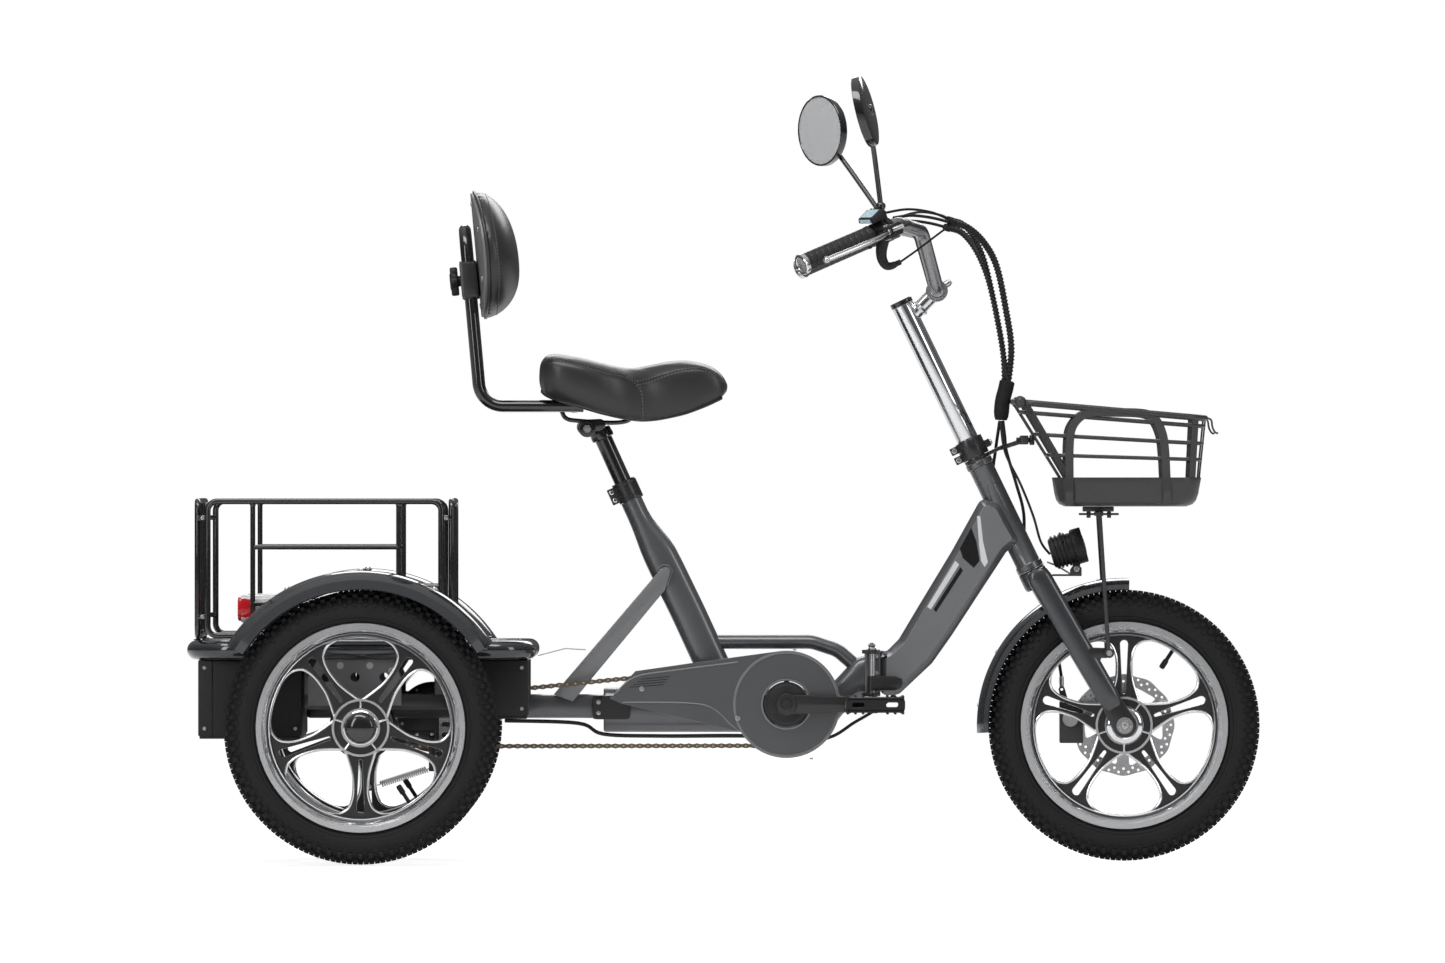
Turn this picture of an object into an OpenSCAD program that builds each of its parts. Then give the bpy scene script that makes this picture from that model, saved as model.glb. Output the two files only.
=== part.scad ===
// Folding electric-assist cargo tricycle. Millimetres, +X forward, +Y left, +Z up.
// The origin lies on the ground at the middle of the overall box.

/* [Wheels] */
// Outside diameter of every tyre
tyre_d = 425; // [410:1:430]
// Width of every tyre
tyre_w = 60; // [52:1:62]
// Distance between the two rear wheels, centre to centre
rear_track = 620; // [610:2:680]

/* [Frame] */
// Length from the rear bumper to the front tyre
overall_len = 1674; // [1640:2:1720]
// Lean of the steering axis from vertical
head_angle = 25.9; // [25.4:0.1:26.4]
// Height of the main beam
beam_h = 69; // [60:1:74]
// Width of the main beam
beam_w = 54; // [48:1:58]
// Lean of the seat post from vertical
seat_angle = 24.3; // [23.6:0.1:24.8]

/* [Cargo rack] */
// Length of the rack at the rails
rack_len = 404; // [360:2:420]
// Height of the rack above the bumper loop
rack_h = 221; // [140:1:260]
// Distance from the middle to the rack's side panels
rack_half = 235; // [200:1:240]

/* [Basket] */
// Width of the front basket at its rim
basket_w = 280; // [240:2:320]

/* [Controls] */
// Crank length from spindle to pedal pin
crank_len = 138; // [130:1:142]
// Diameter of each mirror
mirror_d = 112; // [90:1:120]
// Length of each grip
grip_len = 133; // [110:1:136]

/* [Fits] */
// Radial clearance of a running shaft
run_fit = 0.06; // [0.03:0.01:0.1]
// Gap between neighbouring pieces of different bodies
gap = 0.3; // [0.2:0.05:0.5]

/* [Hidden] */
$fn = 48;

// The stations below are laid out for a 425 mm tyre and a 1674 mm length. A larger tyre
// lifts the whole frame, and a longer trike moves the front and rear groups apart.
tyre_r = tyre_d / 2;
lift = tyre_r - 212.5;
stretch = overall_len - 1674;
front_axle_x = overall_len / 2 - tyre_r;
front_shift = front_axle_x - 624.5;
rear_shift = -stretch / 2;
beam_stretch = front_shift - rear_shift;

// Wheels
rim_r = tyre_r - 51;
bead_r = rim_r - 9.5;
barrel_r = rim_r - 20.5;
web_t = 14;
hub_r = 29;
axle_r = 8.5;
front_axle_r = 6;
wheel_y = rear_track / 2;

// Steering
head_top = [387, 645];
stem_r = 17;
steerer_r = 14.3;
head_r = 19.5;

// Drive
bb = [96, 246];
rear_axle_c = [-564.5, 212.5];
ring_r = 64.8;
cog_r = 32.55;
chain_y = -48;
spindle_r = 8;
pedal_pin_r = 7;

// Fold hinge
hinge_x = 230;
hinge_y = 44;
hinge_z0 = 258;
hinge_z1 = 331;

// Cargo platform
loop_z = 332;
loop_r = 15;
loop_back = -837 + loop_r;
loop_front = -292 - loop_r;
rail_r = 4.75;

// Seat
post_r = 13.6;
post_top = [-161.2, 596.4];
back_r = 9.3;

// ---------- helpers ----------

module rear_group() { translate([rear_shift, 0, lift]) children(); }
module front_group() { translate([front_shift, 0, lift]) children(); }

// Cylinder across the trike at [x, z], from y0 to y1
module across(p, r, y0, y1) {
  translate([p.x, y0, p.y]) rotate([-90, 0, 0]) cylinder(r = r, h = y1 - y0);
}

// Round rod between two points
module rod(a, b, r) {
  d = b - a;
  translate(a) rotate([0, acos(d.z / norm(d)), atan2(d.y, d.x)]) cylinder(r = r, h = norm(d));
}

// Flat bar between two side-view points, from y0 to y1
module strap(a, b, r, y0, y1) {
  hull() {
    across(a, r, y0, y1, $fn = 32);
    across(b, r, y0, y1, $fn = 32);
  }
}

// Side-view outline given a thickness from y0 to y1
module plate(points, y0, y1) {
  translate([0, y1, 0]) rotate([90, 0, 0]) linear_extrude(y1 - y0) polygon(points);
}

module box(x0, x1, y0, y1, z0, z1) {
  translate([x0, y0, z0]) cube([x1 - x0, y1 - y0, z1 - z0]);
}

// Children turned about an axle across the trike: their +Z points to the right
module on_axle(x, y, z) { translate([x, y, z]) rotate([90, 0, 0]) children(); }

// Children on the steering axis: +Z runs up the axis
module on_steering() {
  front_group() translate([head_top.x, 0, head_top.y]) rotate([0, -head_angle, 0]) children();
}

// Children on the seat post axis: +Z runs up the post
module on_post() {
  rear_group() translate([post_top.x, 0, post_top.y]) rotate([0, -seat_angle, 0]) children();
}

function unit(v) = v / norm(v);

// Points of an arc of radius r that rounds corner b, between a and c
function corner(a, b, c, r, n) =
  let (u = unit(a - b), w = unit(c - b), half = acos(u * w) / 2,
       mid = b + unit(u + w) * r / sin(half),
       s = b + u * r / tan(half) - mid, e = b + w * r / tan(half) - mid, turn = 180 - 2 * half)
  [for (i = [0:n]) mid + (s * sin((n - i) * turn / n) + e * sin(i * turn / n)) / sin(turn)];

// An open path with every corner rounded
function rounded(p, r, n = 5) = [
  p[0],
  for (i = [1:len(p) - 2]) each corner(p[i - 1], p[i], p[i + 1], r, n),
  p[len(p) - 1]
];

// A closed path with every corner rounded
function rounded_loop(p, r, n = 5) =
  [for (i = [0:len(p) - 1]) each corner(p[(i + len(p) - 1) % len(p)], p[i], p[(i + 1) % len(p)], r, n)];

function heading(p, i, loop) =
  let (n = len(p), a = loop ? p[(i + n - 1) % n] : p[max(i - 1, 0)],
       b = loop ? p[(i + 1) % n] : p[min(i + 1, n - 1)])
  unit(b - a);

// Side vectors carried along the path without twist
function carry(p, loop, i, side) =
  i == len(p) ? [] :
  let (t = heading(p, i, loop), s = unit(side - (side * t) * t))
  [s, each carry(p, loop, i + 1, s)];

// Round tube swept along a path
module tube(p, r, sides = 12, loop = false) {
  n = len(p);
  t0 = heading(p, 0, loop);
  start = abs(t0.z) < 0.9 ? cross(t0, [0, 0, 1]) : cross(t0, [0, 1, 0]);
  side = carry(p, loop, 0, start);
  rings = [for (i = [0:n - 1], k = [0:sides - 1])
    let (t = heading(p, i, loop), a = 360 * k / sides)
    p[i] + r * (cos(a) * side[i] + sin(a) * cross(t, side[i]))];
  last = loop ? n - 1 : n - 2;
  walls = [for (i = [0:last], k = [0:sides - 1])
    let (j = (i + 1) % n, m = (k + 1) % sides)
    [i * sides + k, j * sides + k, j * sides + m, i * sides + m]];
  caps = loop ? [] : [[for (k = [0:sides - 1]) k],
    [for (k = [sides - 1:-1:0]) (n - 1) * sides + k]];
  polyhedron(points = rings, faces = concat(walls, caps), convexity = 6);
}

// Oval outline, wide across and tall up, with n steps on each half
function oval(w, h, n = 12) = concat(
  [for (i = [0:n]) [w / 2 * cos(180 * i / n), (h - w) / 2 + w / 2 * sin(180 * i / n)]],
  [for (i = [0:n]) [-w / 2 * cos(180 * i / n), -(h - w) / 2 - w / 2 * sin(180 * i / n)]]);

// Outline in the YZ plane drawn out along X
module along_x(x0, x1, z, points) {
  translate([x0, 0, z]) rotate([90, 0, 90]) linear_extrude(x1 - x0) polygon(points);
}

function arc(c, r, a0, a1, n) =
  [for (i = [0:n]) c + r * [cos(a0 + (a1 - a0) * i / n), sin(a0 + (a1 - a0) * i / n)]];

// ---------- rear frame ----------

beam_z = 236.5;
beam_x0 = -190;
beam_x1 = 160 + beam_stretch;
post_bore_len = 170;
post_in = 100;
collar_z = 565;
collar_s = (collar_z - post_top.y) / cos(seat_angle);
lug_h = 22;
plate_half = 33;

module step_tube() {
  e = beam_stretch;
  tube(rounded([[-30, 0, 343], [136 + e, 0, 343], [176 + e, 0, 330], [222 + e, 0, 290]], 40, 4), 11, 16);
}

module rear_knuckle() {
  e = beam_stretch;
  box(218.5 + e, hinge_x - 0.2 + e, -plate_half, plate_half, hinge_z0, hinge_z1);
  for (z = [hinge_z0, hinge_z1 - lug_h]) {
    translate([hinge_x + e, hinge_y, z]) cylinder(r = 8, h = lug_h);
    box(219.5 + e, hinge_x - 0.2 + e, plate_half - 2, hinge_y, z, z + lug_h);
  }
  translate([hinge_x + e, hinge_y, hinge_z0 - 4]) cylinder(r = 5, h = hinge_z1 - hinge_z0 + 8);
  for (z = [hinge_z0, hinge_z1 - 6]) {
    translate([hinge_x + e, -hinge_y + 1, z]) cylinder(r = 8, h = 6);
    box(214 + e, hinge_x - 0.4 + e, -hinge_y - 6, -plate_half + 2, z, z + 6);
  }
  translate([hinge_x + e, -hinge_y + 1, hinge_z0]) cylinder(r = 5, h = hinge_z1 - hinge_z0);
}

module beam() {
  difference() {
    along_x(beam_x0, beam_x1, beam_z, oval(beam_w, beam_h));
    along_x(beam_x0 - 1, bb.x - 30, beam_z, oval(beam_w - 6, beam_h - 6));
  }
  hull() {
    along_x(beam_x1 - 1, beam_x1, beam_z, oval(beam_w, beam_h, 8));
    along_x(218 + beam_stretch, 219 + beam_stretch, (hinge_z0 + hinge_z1) / 2 - 5, oval(52, 60, 8));
  }
}

module seat_tube_skin() {
  hull() {
    translate([0, 0, collar_s - 8]) cylinder(r = 17, h = 8, $fn = 32);
    translate([6, 0, collar_s - 95]) scale([1, 0.8, 1]) cylinder(r = 27, h = 4, $fn = 32);
  }
  hull() {
    translate([6, 0, collar_s - 93]) scale([1, 0.8, 1]) cylinder(r = 27, h = 4, $fn = 32);
    translate([10, 0, collar_s - 345]) scale([1, 0.8, 1]) cylinder(r = 27, h = 4, $fn = 32);
  }
}

module rear_frame() {
  color("dimgray") difference() {
    union() {
      rear_group() difference() {
        union() {
          beam();
          step_tube();
          rear_knuckle();
          across(bb, 21, -34, 34);
          box(-345, beam_x0 + 12, -20, 20, 224, 261);
          for (y = [-28, 18])
            plate([[-268, 261], [-238, 250], [-94, 424], [-86, 462], [-100, 458]], y, y + 10);
        }
        box(beam_x0 + 11, bb.x - 32, -23, 23, 212, 261);
      }
      on_post() seat_tube_skin();
    }
    on_post() translate([0, 0, collar_s - post_bore_len]) cylinder(r = post_r + run_fit, h = 200);
    rear_group() across(bb, spindle_r + run_fit, -40, 40);
    rear_group() along_x(beam_x0 + 12, bb.x - 32, beam_z, oval(beam_w - 6.2, beam_h - 6.2));
  }
}

module battery_pack() {
  color([0.08, 0.08, 0.09]) rear_group() difference() {
    along_x(beam_x0 + 14, bb.x - 36, beam_z, oval(beam_w - 7, beam_h - 7));
    box(beam_x0 + 8, beam_x0 + 30, 17.7, 30, 200, 275);
    box(beam_x0 + 8, beam_x0 + 30, -30, -17.7, 200, 275);
  }
}

module seatpost_clamp() {
  color([0.06, 0.06, 0.06]) on_post() translate([0, 0, collar_s + gap]) difference() {
    union() {
      cylinder(r = 18.5, h = 32);
      translate([10, -9, 3]) cube([19, 18, 26]);
    }
    translate([0, 0, -1]) cylinder(r = post_r + run_fit, h = 40);
    for (z = [9, 23]) translate([23, 15, z]) rotate([90, 0, 0]) cylinder(r = 2.5, h = 30);
  }
}

// ---------- drive ----------

guard_y = -58;
guard_t = 2.5;

module chainguard() {
  tail = concat([[-180, 255], [-140, 298], [-70, 308]], arc(bb, 84, 100, -130, 40), [[26, 202], [-162, 247]]);
  color("gray") rear_group() {
    difference() {
      plate(tail, guard_y - guard_t, guard_y);
      across(bb, 36, guard_y - 5, guard_y + 2);
    }
    for (p = [[-130, 258], [20, 224], [176, 240]]) across(p, 4.5, guard_y, -beam_w / 2 - 0.1);
  }
}

module chain_strip() {
  difference() {
    hull() {
      translate(bb) circle(r = ring_r + 4, $fn = 64);
      translate(rear_axle_c) circle(r = cog_r + 4, $fn = 40);
    }
    hull() {
      translate(bb) circle(r = ring_r - 4, $fn = 64);
      translate(rear_axle_c) circle(r = cog_r - 4, $fn = 40);
    }
  }
}

chain_pitch = 12.7;
roller_run = rear_axle_c.x + 30;

module chain() {
  color([0.35, 0.3, 0.25]) rear_group() {
    for (y = [chain_y - 3.8, chain_y + 2.2])
      translate([0, y + 1.6, 0]) rotate([90, 0, 0]) linear_extrude(1.6) chain_strip();
    for (i = [0:14]) {
      x = roller_run + 10 + i * 3 * chain_pitch;
      low = 180 + (x - rear_axle_c.x) * (bb.y - ring_r - rear_axle_c.y + cog_r) / (bb.x - rear_axle_c.x);
      across([x, low], 3.4, chain_y - 2.3, chain_y + 2.3);
    }
  }
}

// A toothed disc with its teeth standing half a roller outside the pitch circle
module sprocket(teeth, pitch_r, y) {
  on_axle(0, y + 1.4, 0) linear_extrude(2.8)
    polygon([for (i = [0:teeth * 4 - 1])
      let (a = 90 * i / teeth, r = pitch_r + (i % 4 == 0 || i % 4 == 3 ? 2.8 : -3.6))
      [r * cos(a), r * sin(a)]]);
}

module crank_arm(y0) {
  strap([0, 0], [crank_len, 0], 12, y0, y0 + 14);
  across([0, 0], 17, y0, y0 + 14);
}

arm_in = 66;
pedal_y = 84;
pedal_w = 94;

module crankset() {
  color([0.1, 0.1, 0.11]) rear_group() translate([bb.x, 0, bb.y]) {
    across([0, 0], spindle_r, -arm_in - 12, arm_in + 12);
    crank_arm(-arm_in - 14);
    rotate([0, 180, 0]) crank_arm(arm_in);
    across([0, 0], 30, -arm_in - 1, chain_y - 1);
    sprocket(32, ring_r, chain_y);
    across([crank_len, 0], pedal_pin_r, -pedal_y - pedal_w + 6, -arm_in - 4);
    across([-crank_len, 0], pedal_pin_r, arm_in + 4, pedal_y + pedal_w - 6);
  }
}

module pedal(x, y0) {
  difference() {
    union() {
      box(x - 45, x + 45, y0, y0 + pedal_w, bb.y - 13, bb.y - 6);
      box(x - 45, x + 45, y0, y0 + pedal_w, bb.y + 6, bb.y + 13);
      for (s = [-45, 39]) box(x + s, x + s + 6, y0, y0 + pedal_w, bb.y - 8, bb.y + 8);
      across([x, bb.y], 12, y0, y0 + pedal_w);
    }
    across([x, bb.y], pedal_pin_r + run_fit, y0 - 1, y0 + pedal_w + 1);
  }
}

module pedal_right() {
  color([0.05, 0.05, 0.05]) rear_group() pedal(bb.x + crank_len, -pedal_y - pedal_w);
}

module pedal_left() {
  color([0.05, 0.05, 0.05]) rear_group() pedal(bb.x - crank_len, pedal_y);
}

drum_y = [-130, -112];

module rear_axle() {
  color("silver") rear_group() {
    across(rear_axle_c, axle_r, -wheel_y - 25, wheel_y + 25);
    for (s = [-1, 1]) across(rear_axle_c, 13, s * (wheel_y - 53) - 3, s * (wheel_y - 53) + 3);
    across(rear_axle_c, 18, chain_y - 8, chain_y + 8);
    across(rear_axle_c, 45, drum_y[0], drum_y[1]);
  }
}

module freewheel() {
  color("gray") rear_group() difference() {
    translate([rear_axle_c.x, 0, rear_axle_c.y]) {
      sprocket(16, cog_r, chain_y);
      across([0, 0], 26, chain_y - 7, chain_y + 7);
    }
    across(rear_axle_c, 18 + run_fit, chain_y - 20, chain_y + 20);
  }
}

// ---------- wheels ----------

// Half section of a tyre: radius along X, width along Y
module tyre_section() {
  difference() {
    translate([tyre_r - tyre_w / 2, 0]) circle(r = tyre_w / 2);
    translate([0, -40]) square([rim_r + 0.4, 80]);
  }
  translate([bead_r + 0.4, -21.5]) square([12, 43]);
}

module tyre() {
  color([0.05, 0.05, 0.05]) rotate_extrude($fn = 96) tyre_section();
}

// One side of a petal-shaped opening: distance from the axle along X, half width along Y
petal_side = [[47, 5], [51, 10.5], [58, 20], [68, 32], [78, 40.5], [87, 47], [96, 52], [105, 55],
              [112, 56], [118, 54.5], [124, 51], [129, 46], [133, 39], [136, 30], [138, 17]];
petal_ends = [45, 138.8];
petal_scale = barrel_r / 141;

module petal_hole(angle) {
  n = len(petal_side) - 1;
  rotate(angle) scale(petal_scale) polygon(concat([[petal_ends[0], 0]], petal_side, [[petal_ends[1], 0]],
    [for (i = [n:-1:0]) [petal_side[i].x, -petal_side[i].y]]));
}

module slot_hole(angle) {
  rotate(angle) polygon([[50, -3], [barrel_r - 8, -6.5], [barrel_r - 8, 6.5], [50, 3]]);
}

// Cast wheel about Z, with its hub from -inner to +outer and a first petal at an angle
module cast_wheel(first, inner, outer, bore) {
  difference() {
    union() {
      rotate_extrude($fn = 96) polygon([
        [barrel_r - 2, -24], [barrel_r - 2, 24], [barrel_r + 6, 26], [rim_r, 26], [rim_r, 22],
        [bead_r, 22], [bead_r, -22], [rim_r, -22], [rim_r, -26], [barrel_r + 6, -26]]);
      translate([0, 0, -web_t / 2]) cylinder(r = barrel_r - 1, h = web_t, $fn = 96);
      translate([0, 0, -inner]) cylinder(r = hub_r - 7, h = inner + outer);
      translate([0, 0, -16]) cylinder(r = hub_r + 8, h = 32);
    }
    translate([0, 0, -web_t]) linear_extrude(2 * web_t)
      for (i = [0:4]) {
        petal_hole(first + 72 * i);
        slot_hole(first + 36 + 72 * i);
      }
    translate([0, 0, -inner - 1]) cylinder(r = bore, h = inner + min(outer, 26) + 1);
  }
}

module rear_wheel_rim(bore) {
  cast_wheel(90, 50, 26, bore);
  translate([0, 0, 26]) cylinder(r = 24, h = 6);
  translate([0, 0, 32]) cylinder(r = 19, h = 5);
}

module rear_rim_right() {
  color("silver") rear_group() on_axle(rear_axle_c.x, -wheel_y, rear_axle_c.y) rear_wheel_rim(axle_r);
}

module rear_rim_left() {
  color("silver") rear_group() mirror([0, 1, 0])
    on_axle(rear_axle_c.x, -wheel_y, rear_axle_c.y) rear_wheel_rim(axle_r + run_fit);
}

module rear_tyre_right() { rear_group() on_axle(rear_axle_c.x, -wheel_y, rear_axle_c.y) tyre(); }

module rear_tyre_left() { rear_group() on_axle(rear_axle_c.x, wheel_y, rear_axle_c.y) tyre(); }

module front_tyre() { on_axle(front_axle_x, 0, tyre_r) tyre(); }

hub_half = 49.7;
rotor_y = 38;

module front_rim() {
  color("silver") on_axle(front_axle_x, 0, tyre_r) difference() {
    union() {
      cast_wheel(54, hub_half, hub_half, front_axle_r + run_fit);
      translate([0, 0, -rotor_y]) cylinder(r = 32, h = 10);
    }
    translate([0, 0, -60]) cylinder(r = front_axle_r + run_fit, h = 120);
  }
}

module brake_rotor() {
  color("silver") on_axle(front_axle_x, rotor_y + 2, tyre_r) difference() {
    cylinder(r = 80, h = 2, $fn = 72);
    translate([0, 0, -1]) cylinder(r = hub_r - 6.9, h = 4);
    for (i = [0:23]) rotate(15 * i) translate([71, 0, -1]) cylinder(r = 4, h = 4, $fn = 16);
    for (i = [0:5]) rotate(60 * i) translate([49, 0, -1]) cylinder(r = 9, h = 4, $fn = 16);
  }
}

// ---------- rear carriage ----------

side_y = 200;
under_tray = loop_z - loop_r - gap;
bearing_w = 24;

module carriage_frame() {
  color("dimgray") rear_group() {
    box(-655, -345, -20, 20, 224, 261);
    for (s = [-1, 1]) {
      y = s * side_y;
      difference() {
        union() {
          box(-655, -428, y - 12, y + 12, 240, 264);
          across(rear_axle_c, 24, y - bearing_w / 2, y + bearing_w / 2);
        }
        across(rear_axle_c, axle_r + run_fit, y - 20, y + 20);
      }
      for (x = [-655, -452]) box(x, x + 24, y - 12, y + 12, 264, under_tray);
      difference() {
        box(-648, -503, s * 213.5 - 2.5, s * 213.5 + 2.5, 246, under_tray);
        for (x = [-620, -575, -530]) across([x, 290], 7, s * 214 - 5, s * 214 + 5);
      }
    }
    for (x = [-655, -452]) box(x, x + 24, -side_y, side_y, 290, 314);
    box(-655, -631, -18, 18, 260, 291);
    box(-452, -428, -18, 18, 260, 291);
  }
}

module bumper_loop() {
  h = rack_half;
  color([0.13, 0.13, 0.14]) rear_group()
    tube(rounded_loop([[loop_back, -h, loop_z], [loop_front, -h, loop_z],
                       [loop_front, h, loop_z], [loop_back, h, loop_z]], 60, 5), loop_r, 20, true);
}

tray_half = rack_half - loop_r - gap;
tray_bottom = loop_z - loop_r;

module cargo_tray() {
  x0 = loop_back + loop_r + 0.3;
  x1 = loop_front - loop_r - 0.3;
  color([0.09, 0.09, 0.1]) rear_group() difference() {
    translate([x0, -tray_half, tray_bottom]) linear_extrude(2 * loop_r)
      polygon(concat(arc([46, 46], 46, 180, 270, 6), arc([x1 - x0 - 46, 46], 46, 270, 360, 6),
                     arc([x1 - x0 - 46, 2 * tray_half - 46], 46, 0, 90, 6),
                     arc([46, 2 * tray_half - 46], 46, 90, 180, 6)));
    box(x0 + 16, x1 - 16, -tray_half + 16, tray_half - 16, tray_bottom + 5, 350);
  }
}

rack_x0 = -819.5;
rack_x1 = rack_x0 + rack_len - 9.5;
rail_z = loop_z + loop_r + rack_h - rail_r;
foot_z = loop_z + loop_r;

bottom_z = foot_z + 7.5;

// One welded panel: a rounded frame with feet, in the plane from corner a to corner b
module panel(a, b) {
  tube(rounded_loop([[a.x, a.y, bottom_z], [b.x, b.y, bottom_z], [b.x, b.y, rail_z], [a.x, a.y, rail_z]],
                    14, 3), rail_r, 10, true);
  for (u = [0.12, 0.88]) {
    p = a + u * (b - a);
    translate([p.x, p.y, foot_z]) cylinder(r = 4, h = 8, $fn = 12);
  }
}

module upright(x, y) { translate([x, y, bottom_z]) cylinder(r = 4, h = rail_z - bottom_z, $fn = 12); }

module side_panel(y) {
  x0 = rack_x0 + 16;
  x1 = rack_x1 - 16;
  inner = [rack_x0 + 86, rack_x1 - 82];
  panel([x0, y], [x1, y]);
  for (x = inner) upright(x, y);
  rod([inner[0], y, 492], [inner[1], y, 492], 3.7, $fn = 12);
  rod([inner[1], y, 430], [x1, y, 430], 3.7, $fn = 12);
}

module end_panel(x) {
  y = rack_half - 12;
  panel([x, -y], [x, y]);
  for (v = [-y / 3, y / 3]) upright(x, v);
}

module cargo_rack() {
  color([0.07, 0.07, 0.08]) rear_group() {
    side_panel(-rack_half);
    side_panel(rack_half);
    for (x = [rack_x0, rack_x1]) end_panel(x);
    for (x = [rack_x0, rack_x1 - 16], s = [-1, 1], z = [380, rail_z - 30])
      translate([x, s > 0 ? rack_half - 14 : -rack_half, z]) cube([16, 14, 8]);
  }
}

module skirt_boxes() {
  color([0.08, 0.08, 0.09]) rear_group() {
    box(-819, -658, -214, 214, 194, under_tray);
    for (s = [-1, 1]) translate([0, s * 142, 0]) box(-402, -306, -72, 72, 225, under_tray);
  }
}

fender_r = tyre_r + 31.5;

// Fender section: radius along X, width along Y
module fender_section(half, r, drop) {
  polygon(concat(
    [for (i = [0:10]) let (u = i / 5 - 1) [r - drop * u * u, half * u]],
    [for (i = [0:10]) let (u = 1 - i / 5) [r - 3 - drop * u * u, half * u]]));
}

module rear_fender(y) {
  color([0.15, 0.15, 0.16]) rear_group() {
    on_axle(rear_axle_c.x, y, rear_axle_c.y)
      rotate_extrude(angle = 115.4, start = 32.6, $fn = 96) fender_section(40, fender_r, 14);
    s = sign(y);
    for (x = [-759, -386]) box(x, x + 18, min(s * 249.8, s * 273), max(s * 249.8, s * 273), 332, 350);
  }
}

module rear_fender_right() { rear_fender(-wheel_y); }

module rear_fender_left() { rear_fender(wheel_y); }

light_y = 205;

module tail_light(y) {
  hull() {
    translate([-749, y, 396]) rotate([0, 90, 0]) cylinder(r = 20, h = 4, $fn = 32);
    translate([-729, y, 396]) rotate([0, 90, 0]) cylinder(r = 12, h = 4, $fn = 32);
  }
  box(-736, -730, y - 6, y + 6, foot_z + gap, 390);
}

module tail_lights() {
  color("whitesmoke") rear_group() for (s = [-1, 1]) tail_light(s * light_y);
}

module tail_lenses() {
  color("red") rear_group() for (s = [-1, 1])
    translate([-757.3, s * light_y, 396]) rotate([0, 90, 0]) cylinder(r = 19, h = 8);
}

module motor() {
  color([0.07, 0.07, 0.08]) rear_group() {
    across([-459, 225], 55, 26, 96);
    across([-459, 225], 40, 96, 112);
    difference() {
      box(-448, -424, 20, 26, 188, 283);
      for (z = [198, 270]) strap([-442, z], [-430, z], 3, 18, 28);
    }
  }
}

band_c = rear_axle_c;
arm_pivot = [band_c.x + 6, band_c.y - 56];

module band_brake() {
  color([0.3, 0.3, 0.32]) rear_group() {
    difference() {
      across(band_c, 52, drum_y[0], drum_y[1]);
      across(band_c, 45 + gap, drum_y[0] - 1, drum_y[1] + 1);
    }
    box(band_c.x - 10, band_c.x + 10, drum_y[0], drum_y[1], band_c.y + 49, under_tray);
    across(arm_pivot, 4, drum_y[0] + 1, drum_y[1] + 12);
    box(arm_pivot.x - 5, arm_pivot.x + 5, drum_y[0] + 1, drum_y[1] - 1, arm_pivot.y, band_c.y - 46);
    box(-462, -452, drum_y[1] - 6, drum_y[1] + 5.7, 142, 200);
    box(-518, -452, drum_y[1] - 6, drum_y[1] + 5.7, 194, 206);
  }
}

module brake_arm() {
  color("black") rear_group() difference() {
    strap([arm_pivot.x, arm_pivot.y], [arm_pivot.x + 4, 118], 6.5, drum_y[1] + 1, drum_y[1] + 6);
    across(arm_pivot, 4 + run_fit, drum_y[1] - 1, drum_y[1] + 9);
  }
}

module brake_spring() {
  color("silver") rear_group()
    rod([-543, drum_y[1] + 12, 120], [-459, drum_y[1] + 12, 147], 6, $fn = 16);
}

// ---------- front frame ----------

module front_frame_outline(inset) {
  polygon([[242 + inset, 331 - inset], [252, 327 - inset], [272 + inset, 347 - inset],
           [303 + inset, 399], [355 + inset, 485], [401 + inset, 568], [430 - inset, 560],
           [462 - inset, 500], [440 - inset, 484], [355 - inset, 354], [324 - inset, 310 + inset],
           [272, 261 + inset], [242 + inset, 258 + inset]]);
}

module front_frame() {
  color("dimgray") difference() {
    union() {
      front_group() {
        translate([0, 18, 0]) rotate([90, 0, 0]) linear_extrude(36) front_frame_outline(0);
        translate([0, 27, 0]) rotate([90, 0, 0]) linear_extrude(54) front_frame_outline(9);
        box(hinge_x + 0.2, 243, -plate_half, plate_half, hinge_z0, hinge_z1);
        translate([hinge_x, hinge_y, hinge_z0 + lug_h + gap])
          cylinder(r = 8, h = hinge_z1 - hinge_z0 - 2 * lug_h - 2 * gap);
        box(hinge_x + 0.2, 241, plate_half - 2, hinge_y, hinge_z0 + lug_h + gap, hinge_z1 - lug_h - gap);
      }
      on_steering() {
        translate([0, 0, -209.4]) cylinder(r = head_r, h = 188.5);
        translate([0, 0, -209.4]) cylinder(r = 21.5, h = 9);
        translate([0, 0, -30]) cylinder(r = 21.5, h = 9.1);
      }
    }
    on_steering() translate([0, 0, -220]) cylinder(r = steerer_r + run_fit, h = 230);
    front_group() translate([hinge_x, hinge_y, hinge_z0 - 5]) cylinder(r = 5 + run_fit, h = 90);
  }
}

module fold_lever() {
  x = hinge_x;
  y = -hinge_y + 1;
  color([0.06, 0.06, 0.06]) translate([beam_stretch, 0, 0]) rear_group() difference() {
    union() {
      translate([x, y, 267]) cylinder(r = 7.6, h = 23);
      box(x, x + 40, y - 7.6, y, 267, 290);
      hull() {
        box(x + 38, x + 40, y - 7.6, y, 267, 290);
        translate([x + 46, y - 5, 272]) cylinder(r = 2.5, h = 16, $fn = 16);
      }
    }
    translate([x, y, 260]) cylinder(r = 5 + run_fit, h = 40);
  }
}

// ---------- fork and front end ----------

crown = [493.5, 439.5];
front_axle_c = [624.5, 212.5];

module fork_blade() {
  hull() {
    across(crown, 19, 44, 66, $fn = 32);
    across([600, 255], 17, 46, 62, $fn = 32);
  }
  hull() {
    across([600, 255], 17, 50, 60, $fn = 32);
    across(front_axle_c, 19, 50, 58, $fn = 32);
  }
}

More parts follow.
